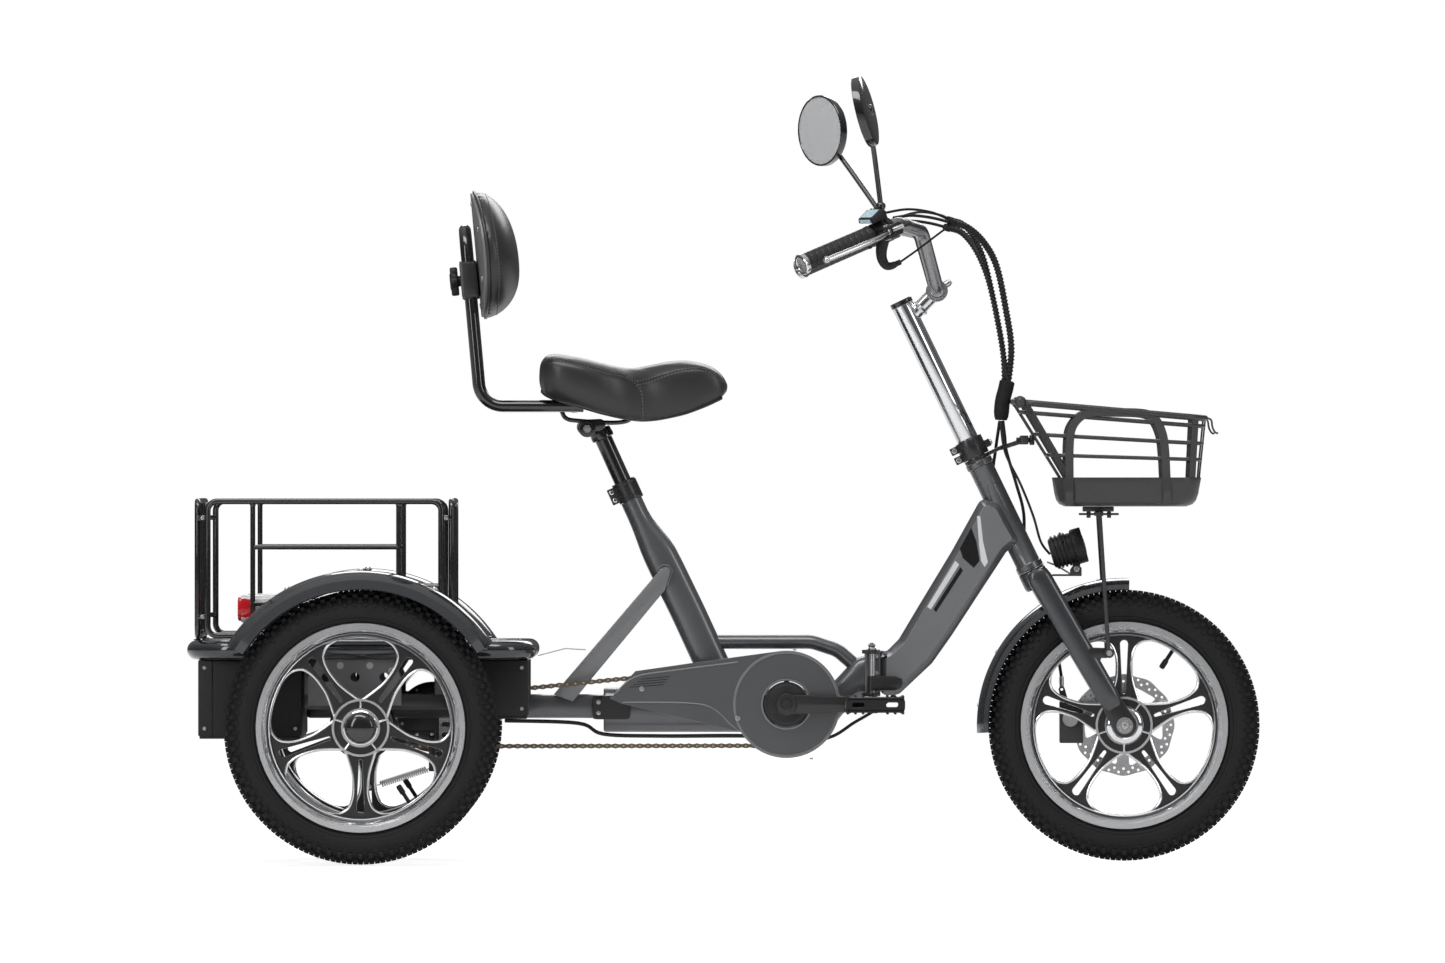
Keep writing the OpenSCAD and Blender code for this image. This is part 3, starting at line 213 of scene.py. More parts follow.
# Grey of the carriage plates; the backrest board also takes it as a painted highlight on its black shell.
PLATE_GREY_AND_BOARD_HIGHLIGHT = finish("Carriage_Plate_And_Board_Highlight", PAINT, (0.2, 0.2, 0.205), 0.45, 0.3, 0.15, 8.0, 0.08, 0.05)
BRONZE = finish("Chain_Bronze", TURNED, (0.2, 0.155, 0.11), 0.4, 0.85, 0.3, 40.0, 0.15, 0.08)
WHITE = finish("Lamp_White", MOULDED, (0.72, 0.72, 0.72), 0.25, 0.0, 0.06, 10.0, 0.05, 0.03, 0.5)
MARK_WHITE = finish("Stripe_White", MOULDED, (0.7, 0.7, 0.7), 0.4, 0.0, 0.05, 10.0, 0.05, 0.03, 0.3)
SCREEN = finish("Screen_Blue", MOULDED, (0.55, 0.75, 0.82), 0.12, 0.0, 0.25, 60.0, 0.03, 0.01, 1.0)
RED = finish("Lens_Red", MOULDED, (0.62, 0.01, 0.02), 0.12, 0.0, 0.3, 90.0, 0.03, 0.04, 1.0, 0.03)
AMBER = finish("Reflector_Amber", MOULDED, (0.55, 0.18, 0.01), 0.15, 0.0, 0.3, 200.0, 0.03, 0.1, 1.0)
CLEAR = finish("Lens_Clear", MOULDED, (0.75, 0.77, 0.8), 0.05, 0.0, 0.05, 30.0, 0.02, 0.05, 1.0, 0.02)
MIRROR_GLASS = finish("Mirror_Glass", TURNED, (0.8, 0.81, 0.82), 0.1, 0.35, 0.02, 5.0, 0.02, 0.004)


# ---------- shape building ----------

def across(direction):
    """Two unit vectors square to a direction."""
    d = direction.normalized()
    side = d.cross(AZ if abs(d.z) < 0.9 else AX).normalized()
    return side, side.cross(d)


class Part:
    """One visible piece, gathered from simple shapes in millimetres."""

    def __init__(self, place=None):
        self.bm = bmesh.new()
        self.index = 0
        self.place = place or Matrix.Identity(4)

    def use(self, index):
        self.index = index
        return self

    def faces(self, points, faces):
        verts = [self.bm.verts.new((self.place @ Vector(p)) * MM) for p in points]
        for corners in faces:
            face = self.bm.faces.new([verts[i] for i in corners])
            face.material_index = self.index
            face.smooth = True
        return verts

    def loft(self, rings, loop=False, caps=True):
        count, n = len(rings), len(rings[0])
        faces = []
        for i in range(count if loop else count - 1):
            j = (i + 1) % count
            faces += [[i * n + k, i * n + (k + 1) % n, j * n + (k + 1) % n, j * n + k] for k in range(n)]
        if caps and not loop:
            faces += [list(range(n - 1, -1, -1)), [(count - 1) * n + k for k in range(n)]]
        return self.faces([p for ring in rings for p in ring], faces)

    def tube(self, path, radius, sides=16, loop=False, flat=1.0):
        path = [Vector(p) for p in path]
        count, rings, side = len(path), [], None
        for i, p in enumerate(path):
            ahead = path[(i + 1) % count] if loop else path[min(i + 1, count - 1)]
            behind = path[i - 1] if loop or i else path[0]
            d = (ahead - behind).normalized()
            side = across(d)[0] if side is None else (side - side.dot(d) * d).normalized()
            up = side.cross(d)
            r = radius[i] if isinstance(radius, (list, tuple)) else radius
            rings.append([p + r * (math.cos(a) * side + flat * math.sin(a) * up)
                          for a in (2 * math.pi * k / sides for k in range(sides))])
        return self.loft(rings, loop)

    def lathe(self, profile, centre, axis, steps=48, closed=False):
        """Profile of (radius, distance along the axis) turned about the axis."""
        centre, axis = Vector(centre), Vector(axis).normalized()
        side, up = across(axis)
        rings = []
        for radius, along in profile:
            rings.append([centre + axis * along + max(radius, 0.02) * (math.cos(a) * side + math.sin(a) * up)
                          for a in (2 * math.pi * k / steps for k in range(steps))])
        return self.loft(rings, closed, not closed)

    def rod(self, a, b, radius, sides=16):
        a, b = Vector(a), Vector(b)
        return self.lathe([(radius, 0), (radius, (b - a).length)], a, b - a, sides)

    def soft_rod(self, a, b, radius, edge=0.8, sides=24):
        """Rod with rounded rims."""
        a, b = Vector(a), Vector(b)
        length = (b - a).length
        edge = min(edge, length / 2.2)
        steps = [(math.sin(t) * edge, (1 - math.cos(t)) * edge) for t in (0, 0.55, 1.1, math.pi / 2)]
        start = [(radius - edge + s, c) for s, c in steps]
        return self.lathe([*start, *[(r, length - c) for r, c in reversed(start)]], a, b - a, sides)

    def box(self, x0, x1, y0, y1, z0, z1, edge=1.0):
        """Box with rounded edges along X and Z corners."""
        edge = min(edge, (x1 - x0) / 2.2, (y1 - y0) / 2.2, (z1 - z0) / 2.2)
        rings = []
        for y, inset in ((y0, edge), (y0 + edge * 0.3, edge * 0.3), (y0 + edge, 0),
                         (y1 - edge, 0), (y1 - edge * 0.3, edge * 0.3), (y1, edge)):
            rings.append([(x, y, z) for x, z in rounded_box(x0 + inset, x1 - inset, z0 + inset, z1 - inset, edge)])
        return self.loft(rings)

    def prism(self, outline, y0, y1, edge=0.0):
        """Side-view outline of (x, z) points given a thickness, with its edges eased."""
        if not edge:
            return self.loft([[(x, y, z) for x, z in outline] for y in (y0, y1)])
        inner = inset(outline, edge)
        rings = []
        for y, line in ((y0, inner), (y0 + edge * 0.3, blend(outline, inner, 0.3)), (y0 + edge, outline),
                        (y1 - edge, outline), (y1 - edge * 0.3, blend(outline, inner, 0.3)), (y1, inner)):
            rings.append([(x, y, z) for x, z in line])
        return self.loft(rings)

    def cut_plate(self, outline, holes, y0, y1, edge=0.5, wall=None):
        """Plate with holes, from (x, z) outlines. The walls of the holes may take another finish."""
        curve = bpy.data.curves.new("cut", "CURVE")
        curve.dimensions, curve.fill_mode = "2D", "BOTH"
        curve.extrude, curve.bevel_depth, curve.bevel_resolution = (y1 - y0) / 2 - edge, edge, 1
        curve.offset = -edge
        for line in [outline, *holes]:
            spline = curve.splines.new("POLY")
            spline.points.add(len(line) - 1)
            spline.use_cyclic_u = True
            for point, (x, z) in zip(spline.points, line):
                point.co = (x, z, 0, 1)
        obj = bpy.data.objects.new("cut", curve)
        mesh = bpy.data.meshes.new_from_object(obj)
        middle = (y0 + y1) / 2
        # the outline lies in XY of the curve: its Z becomes -Y here
        points = [(v.co.x, middle - v.co.z, v.co.y) for v in mesh.vertices]
        first = len(self.bm.faces)
        self.faces(points, [list(p.vertices) for p in mesh.polygons])
        if wall is not None:
            self.bm.faces.ensure_lookup_table()
            for face in self.bm.faces[first:]:
                face.normal_update()
                n = self.place.to_3x3().inverted() @ face.normal
                if abs(n.y) < 0.9:
                    face.material_index = wall
        bpy.data.objects.remove(obj)
        bpy.data.meshes.remove(mesh)
        bpy.data.curves.remove(curve)

    def ball(self, centre, radius, scale=(1, 1, 1), steps=24):
        profile = [(math.sin(t) * radius, -math.cos(t) * radius) for t in
                   (math.pi * k / (steps // 2) for k in range(steps // 2 + 1))]
        centre = Vector(centre)
        rings = [[centre + Vector((max(r, 0.02) * math.cos(a) * scale[0], max(r, 0.02) * math.sin(a) * scale[1],
                                   h * scale[2])) for a in (2 * math.pi * k / steps for k in range(steps))]
                 for r, h in profile]
        return self.loft(rings)

    def bolt(self, centre, axis, radius, height=None, socket=True):
        """Button or socket head standing on a face at centre."""
        height = height or radius * 0.7
        profile = [(radius, 0), (radius, height * 0.6), (radius * 0.9, height * 0.9), (radius * 0.72, height)]
        if socket:
            profile += [(radius * 0.5, height), (radius * 0.45, height * 0.3)]
        return self.lathe(profile, centre, axis, 18)

    def hex_nut(self, centre, axis, radius, height):
        self.lathe([(radius * 0.9, 0), (radius, height * 0.12), (radius, height * 0.85), (radius * 0.88, height)],
                   centre, axis, 6)
        return self.lathe([(radius * 0.5, height), (radius * 0.5, height * 1.5), (radius * 0.4, height * 1.6)],
                          centre, axis, 18)

    def done(self, name, body, finishes, nodes=(), slot=None, crease=34):
        bmesh.ops.recalc_face_normals(self.bm, faces=self.bm.faces)
        limit = math.radians(crease)
        for edge in self.bm.edges:
            if len(edge.link_faces) == 2 and edge.calc_face_angle(0.0) > limit:
                edge.smooth = False
        mesh = bpy.data.meshes.new(name)
        self.bm.to_mesh(mesh)
        self.bm.free()
        obj = bpy.data.objects.new(name, mesh)
        bpy.context.scene.collection.objects.link(obj)
        for made in finishes if isinstance(finishes, (list, tuple)) else [finishes]:
            mesh.materials.append(made)
        if isinstance(body, str):
            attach(obj, body)
        else:
            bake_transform(obj)
        if nodes:
            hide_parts(*([nodes] if isinstance(nodes, str) else nodes))
        return obj


def rounded_box(x0, x1, z0, z1, r, steps=3):
    r = max(min(r, (x1 - x0) / 2.01, (z1 - z0) / 2.01), 0.01)
    line = []
    for cx, cz, start in ((x1 - r, z1 - r, 0), (x0 + r, z1 - r, 90), (x0 + r, z0 + r, 180), (x1 - r, z0 + r, 270)):
        for k in range(steps + 1):
            a = math.radians(start + 90 * k / steps)
            line.append((cx + r * math.cos(a), cz + r * math.sin(a)))
    return line


def inset(outline, amount):
    """Outline moved inwards by an amount."""
    area = sum(a[0] * b[1] - b[0] * a[1] for a, b in zip(outline, outline[1:] + outline[:1]))
    sign = 1 if area > 0 else -1
    moved = []
    for i, b in enumerate(outline):
        a, c = outline[i - 1], outline[(i + 1) % len(outline)]
        u = Vector((b[0] - a[0], b[1] - a[1])).normalized()
        w = Vector((c[0] - b[0], c[1] - b[1])).normalized()
        n = Vector((-u.y - w.y, u.x + w.x)) * sign
        k = n.length_squared / 2
        moved.append((b[0] + n.x * amount / max(k, 0.5), b[1] + n.y * amount / max(k, 0.5)))
    return moved


def blend(a, b, share):
    return [tuple(p + (q - p) * share for p, q in zip(u, w)) for u, w in zip(a, b)]


def smooth_path(points, steps=6, loop=False):
    """Catmull-Rom curve through the points."""
    points, n = [Vector(p) for p in points], len(points)
    line = []
    for i in range(n if loop else n - 1):
        pick = (lambda k: points[k % n]) if loop else (lambda k: points[min(max(k, 0), n - 1)])
        a, b, c, d = (pick(i + k) for k in (-1, 0, 1, 2))
        for k in range(steps):
            t = k / steps
            line.append(0.5 * (2 * b + (c - a) * t + (2 * a - 5 * b + 4 * c - d) * t * t
                               + (3 * b - a - 3 * c + d) * t ** 3))
    return line if loop else [*line, points[-1]]


def rounded_path(points, radius, loop=False, steps=8):
    """Straight runs joined by arcs."""
    points, n = [Vector(p) for p in points], len(points)
    line = [] if loop else [points[0]]
    for i in range(0 if loop else 1, n if loop else n - 1):
        a, b, c = points[i - 1], points[i], points[(i + 1) % n]
        u, w = (a - b).normalized(), (c - b).normalized()
        half = math.acos(max(-1, min(1, u.dot(w)))) / 2
        reach = min(radius / math.tan(half), (a - b).length * 0.49, (c - b).length * 0.49)
        r = reach * math.tan(half)
        middle = b + (u + w).normalized() * (r / math.sin(half))
        start, end, turn = b + u * reach - middle, b + w * reach - middle, math.pi - 2 * half
        line += [middle + (start * math.sin((1 - k / steps) * turn) + end * math.sin(k / steps * turn))
                 / math.sin(turn) for k in range(steps + 1)]
    return line if loop else [*line, points[-1]]


def arc_line(cx, cz, r, a0, a1, n):
    return [(cx + r * math.cos(math.radians(a0 + (a1 - a0) * k / n)),
             cz + r * math.sin(math.radians(a0 + (a1 - a0) * k / n))) for k in range(n + 1)]


def circle(cx, cz, r, n=48):
    return arc_line(cx, cz, r, 0, 360 - 360 / n, n - 1)


def strap_line(a, b, ra, rb=None):
    """Outline of a flat bar with round ends."""
    rb = ra if rb is None else rb
    angle = math.degrees(math.atan2(b[1] - a[1], b[0] - a[0]))
    return arc_line(*b, rb, angle - 90, angle + 90, 12) + arc_line(*a, ra, angle + 90, angle + 270, 12)


# ---------- wheels ----------

BARREL_R = 141.0
REAR_AXLE, FRONT_AXLE = (-564.5, 212.5), (624.5, 212.5)
WHEEL_Y = 310.0
PETAL_SIDE = [(47, 5), (51, 10.5), (58, 20), (68, 32), (78, 40.5), (87, 47), (96, 52), (105, 55), (112, 56),
              (118, 54.5), (124, 51), (129, 46), (133, 39), (136, 30), (138, 17)]


def petal(turn, grow=0.0):
    """Outline of one opening, as (x, z) about the axle."""
    line = [(45, 0), *PETAL_SIDE, (138.8, 0), *[(u, -v) for u, v in reversed(PETAL_SIDE)]]
    fine = [(p.x, p.y) for p in smooth_path([(u, v, 0) for u, v in line], 3, True)]
    if grow:
        fine = inset(fine, -grow)
    c, s = math.cos(math.radians(turn)), math.sin(math.radians(turn))
    return [(c * u - s * v, s * u + c * v) for u, v in fine]


def slot_outline(turn, r0=52.0, r1=127.0, w0=2.6, w1=6.2):
    c, s = math.cos(math.radians(turn)), math.sin(math.radians(turn))
    line = strap_line((r0, 0), (r1, 0), w0, w1)
    return [(c * u - s * v, s * u + c * v) for u, v in line]


def tread_block(part, turn, y, lean, out, size):
    """Tapered block on the tread, leaning towards the side."""
    length, width, height = size
    t, k = math.radians(turn), math.radians(lean)
    radial = Vector((math.cos(t), 0, math.sin(t)))
    along = Vector((-math.sin(t), 0, math.cos(t)))
    up = radial * math.cos(k) + AY * math.sin(k)
    sideways = AY * math.cos(k) - radial * math.sin(k)
    foot = radial * out + AY * y
    points = []
    for h, grow in ((-1.5, 1.0), (height, 0.78)):
        points += [foot + up * h + along * a * length / 2 * grow + sideways * b * width / 2 * grow
                   for a, b in ((-1, -1), (1, -1), (1, 1), (-1, 1))]
    part.faces(points, [[4, 5, 6, 7], [0, 1, 5, 4], [1, 2, 6, 5], [2, 3, 7, 6], [3, 0, 4, 7]])


def make_tyre(name, centre, body, cad, slots=76):
    part = Part(Matrix.Translation(centre))
    profile = []
    for k in range(25):
        a = math.radians(-152 + 304 * k / 24)
        r, y = 182.0 + 25.4 * math.cos(a), 29.2 * math.sin(a)
        profile.append((min(r, 206.6) if abs(y) < 14 else r, y))
    for side in (1, -1):
        line = [(164.5, 20.2), (165.3, 22.6), (167.5, 23.6), (169.0, 24.4), (170.2, 25.6), (171.4, 25.4)]
        line = line if side < 0 else line[::-1]
        if side < 0:
            profile = [(r, -y) for r, y in line] + profile[3:]
        else:
            profile = profile[:-3] + line
    profile = [(160.8, -19), *profile, (160.8, 19)]
    part.lathe([(r, -y) for r, y in profile], (0, 0, 0), -AY, 144, True)
    for side in (-1, 1):
        for r, out in ((176.0, 27.9), (191.5, 27.3)):
            part.tube([(x, side * out, z) for x, z in circle(0, 0, r, 120)], 0.7, 6, True)
    for k in range(slots):
        turn = 360 * k / slots
        half = 180 / slots
        for side in (-1, 1):
            tread_block(part, turn + (half if side > 0 else 0), side * 6.2, side * 6, 206.6, (9.5, 8.6, 5.2))
            tread_block(part, turn + (0 if side > 0 else half), side * 16.0, side * 28, 203.2, (8.4, 7.4, 5.6))
            tread_block(part, turn + (half if side > 0 else 0), side * 23.2, side * 52, 197.0, (7.6, 9.0, 4.6))
            tread_block(part, turn + (0 if side > 0 else half), side * 27.2, side * 68, 189.5, (4.6, 5.0, 2.6))
    return part.done(name, body, RUBBER, cad, "tyre_rubber", 40)


def make_wheel(name, centre, body, cad, first, outer, hub_half, cap):
    """Cast wheel; outer is -1 or 1, the side that faces away from the trike."""
    part = Part(Matrix.Translation(centre))
    petals = [petal(first + 72 * k) for k in range(5)]
    slots = [slot_outline(first + 36 + 72 * k) for k in range(5)]
    part.use(1).cut_plate(circle(0, 0, BARREL_R, 120), [*petals, *slots], -7, 7, 1.2, 0)
    for side in (-1, 1):
        for k in range(5):
            band = petal(first + 72 * k, 1.9)
            part.use(0).tube([(x, side * 7.0, z) for x, z in band], 2.1, 8, True, 1.0)
            t = math.radians(first + 72 * k)
            part.soft_rod((29 * math.cos(t), side * 8, 29 * math.sin(t)),
                          (45 * math.cos(t), side * 8, 45 * math.sin(t)),
                          1.9, 0.4, 10)
        part.lathe([(44.8, side * 6), (44.8, side * 10.2), (41.2, side * 10.2), (41.2, side * 6)],
                   (0, 0, 0), AY, 64, True)
        part.lathe([(30.2, side * 6), (30.2, side * 14), (25.0, side * 14), (25.0, side * 6)],
                   (0, 0, 0), AY, 64, True)
        part.use(1).lathe([(25, side * 5), (25, side * 12), (20, side * 13), (10, side * 13), (10, side * 5)],
                          (0, 0, 0), AY, 48, True)
        ring = [(162.5, 25.2), (161.8, 26.0), (153.6, 26.0), (152.6, 25.0), (150.2, 22.5)]
        part.use(0).lathe([(r, side * y) for r, y in [*ring, (152.0, 17), (162.3, 17)]], (0, 0, 0), AY, 144, True)
        part.use(2).lathe([(r, side * y) for r, y in
                           [(150.2, 22.5), (147.2, 19.0), (145.6, 14.0), (147.5, 12), (152.0, 17)]],
                          (0, 0, 0), AY, 144, True)
        part.use(1).lathe([(r, side * y) for r, y in
                           [(145.9, 14.6), (143.2, 12.0), (140.4, 11.0), (139.6, 7), (140, 4), (148, 4), (149, 13)]],
                          (0, 0, 0), AY, 144, True)
        part.use(0).lathe([(r, side * y) for r, y in
                           [(142.9, 12.6), (141.3, 12.9), (140.6, 11.2), (142.4, 10.6)]], (0, 0, 0), AY, 144, True)
    part.use(1).lathe([(148, -14), (148, 14), (151, 14), (151, -14)], (0, 0, 0), AY, 96, True)
    part.use(2)
    for side, reach in ((outer, hub_half[0]), (-outer, hub_half[1])):
        part.lathe([(21, 12 * side), (21, (reach - 2) * side), (19.5, reach * side), (9, reach * side),
                    (9, 12 * side)], (0, 0, 0), AY, 40, True)
    if cap:
        dome = [(24.6, 13), (24.8, 22), (24.2, 27), (22, 31.5), (17.5, 35), (11, 36.6), (0, 37)]
        part.use(3).lathe([(r, outer * y) for r, y in dome], (0, 0, 0), AY, 48)
        part.use(2).lathe([(26.4, outer * 12), (26.6, outer * 17), (25.2, outer * 18), (25, outer * 12)],
                          (0, 0, 0), AY, 48, True)
    return part.done(name, body, [MACHINED, WHEEL_BLACK, CHROME, GLOSS_BLACK], cad, "cast_alloy")


def make_valve(name, centre, body, turn):
    part = Part(Matrix.Translation(centre))
    t = math.radians(turn)
    d = Vector((math.cos(t), 0, math.sin(t)))
    part.lathe([(4.2, 0), (3.6, 6), (3.1, 12), (3.1, 27), (4.3, 28), (4.5, 30), (4.5, 40), (3.6, 42.5), (0, 43)],
               d * 149, -d, 20)
    part.lathe([(6.2, 0), (5.0, 4), (3.2, 8)], d * 149, -d, 20)
    return part.done(name, body, RUBBER)


for side_name, side, body, first in (("right", -1, "drive_wheel", 90), ("left", 1, "free_wheel", 90)):
    hub = (REAR_AXLE[0], side * WHEEL_Y, REAR_AXLE[1])
    make_tyre("tyre_rear_" + side_name, hub, body, "rear_tyre_" + side_name)
    make_wheel("wheel_rear_" + side_name, hub, body, "rear_rim_" + side_name, first, side, (26, 50), True)
    make_valve("valve_rear_" + side_name, hub, body, -57)
FRONT_HUB = (FRONT_AXLE[0], 0, FRONT_AXLE[1])
make_tyre("tyre_front", FRONT_HUB, "front_wheel", "front_tyre")
make_wheel("wheel_front", FRONT_HUB, "front_wheel", "front_rim", 270, -1, (49.7, 49.7), False)
make_valve("valve_front", FRONT_HUB, "front_wheel", 57)

flange = Part(Matrix.Translation(FRONT_HUB))
for side in (-1, 1):
    flange.lathe([(29.2, side * 12), (29.2, side * 34), (27.5, side * 39), (24, side * 41), (19, side * 41.5),
                  (19, side * 12)], (0, 0, 0), AY, 56, True)
flange.done("hub_flanges", "front_wheel", CHROME)

rotor = Part(Matrix.Translation(FRONT_HUB))
edge_line = [((79.0 + 1.0 * math.cos(12 * math.radians(a))) * math.cos(math.radians(a)),
              (79.0 + 1.0 * math.cos(12 * math.radians(a))) * math.sin(math.radians(a))) for a in range(0, 360, 3)]
holes = [circle(0, 0, 22.5, 32)]
for k in range(30):
    for row, r in enumerate((74.2, 68.6)):
        a = math.radians(12 * k + 6 * row)
        holes.append(circle(r * math.cos(a), r * math.sin(a), 2.0, 10))
for k in range(6):
    turn = 60 * k
    line = [(60, -22), (61, -8), (60.5, 8), (58, 20), (46, 15), (34, 9), (32, -2), (38, -10), (50, -19)]
    c, s = math.cos(math.radians(turn)), math.sin(math.radians(turn))
    line = [(p.x, p.y) for p in smooth_path([(u, v, 0) for u, v in line], 3, True)]
    holes.append([(c * u - s * v, s * u + c * v) for u, v in line])
rotor.cut_plate(edge_line, holes, 38.2, 40.0, 0.3)
for k in range(6):
    a = math.radians(60 * k + 30)
    rotor.use(1).bolt((26 * math.cos(a), 40, 26 * math.sin(a)), AY, 3.2, 1.8)
rotor.done("rotor", "front_wheel", [ALLOY, STEEL], "brake_rotor", "steel")


# ---------- rear axle and drive ----------

BB = (96.0, 246.0)
RING_R, COG_R, CHAIN_Y, PITCH = 64.8, 32.55, -48.0, 12.7


def sprocket_outline(teeth, pitch_r, centre=(0, 0)):
    line = []
    for k in range(teeth):
        for share, r in ((-0.5, -3.4), (-0.28, -2.8), (-0.12, 2.4), (0.12, 2.4), (0.28, -2.8)):
            a = 2 * math.pi * (k + share) / teeth
            line.append((centre[0] + (pitch_r + r) * math.cos(a), centre[1] + (pitch_r + r) * math.sin(a)))
    return line


axle = Part()
rx, rz = REAR_AXLE
axle.soft_rod((rx, -334, rz), (rx, 334, rz), 8.5, 1.0, 32)
for side in (-1, 1):
    axle.lathe([(9, 0), (13, 0), (13, 6), (9, 6)], (rx, side * 257 - 3, rz), AY, 32, True)
axle.lathe([(9, -8), (18, -8), (18, 8), (9, 8)], (rx, CHAIN_Y, rz), AY, 40, True)
axle.lathe([(9, -130), (44, -130), (45, -129), (45, -113), (44, -112), (30, -112), (28, -115), (9, -115)],
           (rx, 0, rz), AY, 64, True)
axle.done("axle_rear", "drive_wheel", STEEL, "rear_axle", "steel")

wheel_cog = Part()
wheel_cog.cut_plate(sprocket_outline(16, COG_R, REAR_AXLE), [circle(rx, rz, 22, 32)],
                    CHAIN_Y - 1.3, CHAIN_Y + 1.3, 0.4)
wheel_cog.lathe([(18.4, -7), (25, -7), (26, -6), (26, 6), (25, 7), (18.4, 7)], (rx, CHAIN_Y, rz), AY, 40, True)
wheel_cog.done("cog", "freewheel", STEEL, "freewheel", "steel")


def chain_line():
    """Points along the chain, one pitch apart, as (x, z)."""
    (ax, az), (bx, bz) = BB, REAR_AXLE
    d = math.hypot(bx - ax, bz - az)
    base = math.atan2(bz - az, bx - ax)
    tilt = math.acos((RING_R - COG_R) / d)
    top_a, low_a = base - tilt, base + tilt
    path = []
    for k in range(81):
        a = low_a + (2 * math.pi - 2 * tilt) * k / 80
        path.append((ax + RING_R * math.cos(a), az + RING_R * math.sin(a)))
    for k in range(41):
        a = top_a + 2 * tilt * k / 40
        path.append((bx + COG_R * math.cos(a), bz + COG_R * math.sin(a)))
    lengths = [math.dist(p, q) for p, q in zip(path, path[1:] + path[:1])]
    total = sum(lengths)
    count = 2 * round(total / PITCH / 2)
    made, i, run = [], 0, 0.0
    for k in range(count):
        goal = total * k / count
        while run + lengths[i] < goal:
            run += lengths[i]
            i += 1
        p, q = path[i], path[(i + 1) % len(path)]
        share = (goal - run) / lengths[i]
        made.append((p[0] + (q[0] - p[0]) * share, p[1] + (q[1] - p[1]) * share))
    return made


def link_outline(a, b, r):
    """Figure-of-eight outline of a chain plate from a to b."""
    angle = math.degrees(math.atan2(b[1] - a[1], b[0] - a[0]))
    middle = ((a[0] + b[0]) / 2, (a[1] + b[1]) / 2)
    n = (-math.sin(math.radians(angle)), math.cos(math.radians(angle)))
    waist = r * 0.62
    return [*arc_line(*b, r, angle - 120, angle + 120, 6), (middle[0] + n[0] * waist, middle[1] + n[1] * waist),
            *arc_line(*a, r, angle + 60, angle + 300, 6), (middle[0] - n[0] * waist, middle[1] - n[1] * waist)]


links = Part()
stations = chain_line()
for k, a in enumerate(stations):
    b = stations[(k + 1) % len(stations)]
    offset = 3.6 if k % 2 else 2.3
    for side in (-1, 1):
        y = CHAIN_Y + side * offset
        links.use(0).prism(link_outline(a, b, 4.1), y - 0.5, y + 0.5)
    links.use(1).rod((a[0], CHAIN_Y - 4.6, a[1]), (a[0], CHAIN_Y + 4.6, a[1]), 1.8, 8)
    links.rod((a[0], CHAIN_Y - 1.7, a[1]), (a[0], CHAIN_Y + 1.7, a[1]), 3.7, 10)
links.done("chain_links", "chassis", [BRONZE, STEEL], "chain", "chain_steel")

cranks = Part()
bx, bz = BB
cranks.use(1).cut_plate(sprocket_outline(32, RING_R, BB), [circle(bx, bz, 48, 48)],
                        CHAIN_Y - 1.4, CHAIN_Y + 1.4, 0.4)
cranks.use(0).soft_rod((bx, -78, bz), (bx, 78, bz), 8, 1.0, 24)
cranks.lathe([(8, -67), (30, -67), (31, -66), (31, -52), (8, -52)], (bx, 0, bz), AY, 48, True)
cranks.lathe([(30, -62.5), (35.2, -62.5), (35.4, -60.8), (30, -60.8)], (bx, 0, bz), AY, 64, True)
for k in range(5):
    t = math.radians(90 + 72 * k)
    c, s = math.cos(t), math.sin(t)
    arm = [(14, 6), (35, 4.2), (50, 4.2), (53, 0), (50, -4.2), (35, -4.2), (14, -6)]
    cranks.prism([(bx + c * u - s * v, bz + s * u + c * v) for u, v in arm], CHAIN_Y - 4.5, CHAIN_Y + 1.4, 0.8)
    cranks.use(1).bolt((bx + 50 * c, CHAIN_Y - 4.5, bz + 50 * s), -AY, 3.2, 1.6)
    cranks.use(0)
    cranks.lathe([(2.6, 0), (2.6, 4)], (bx + 27 * c, -67, bz + 27 * s), -AY, 12)
for side, turn in ((-1, 0), (1, 180)):
    c = 1 if turn == 0 else -1
    y0, y1 = (-80, -66) if side < 0 else (66, 80)
    line = strap_line((bx, bz), (bx + c * 138, bz), 15.5, 11.5)
    cranks.prism(line, y0, y1, 2.2)
    cranks.prism(strap_line((bx + c * 22, bz), (bx + c * 116, bz), 5.5, 4.2), y0 - 0.25, y1 + 0.25, 0.2)
    cranks.lathe([(16.5, 0), (17, 1), (17, 5), (15.5, 7), (9, 7.4), (8, 5.5), (0, 5.5)],
                 (bx, side * 75, bz), AY * side, 40)
    cranks.soft_rod((bx + c * 138, side * 64, bz), (bx + c * 138, side * 172, bz), 6.9, 0.8, 24)
cranks.done("crank_arms", "crankset", [SATIN_BLACK, STEEL], "crankset", "black_paint")


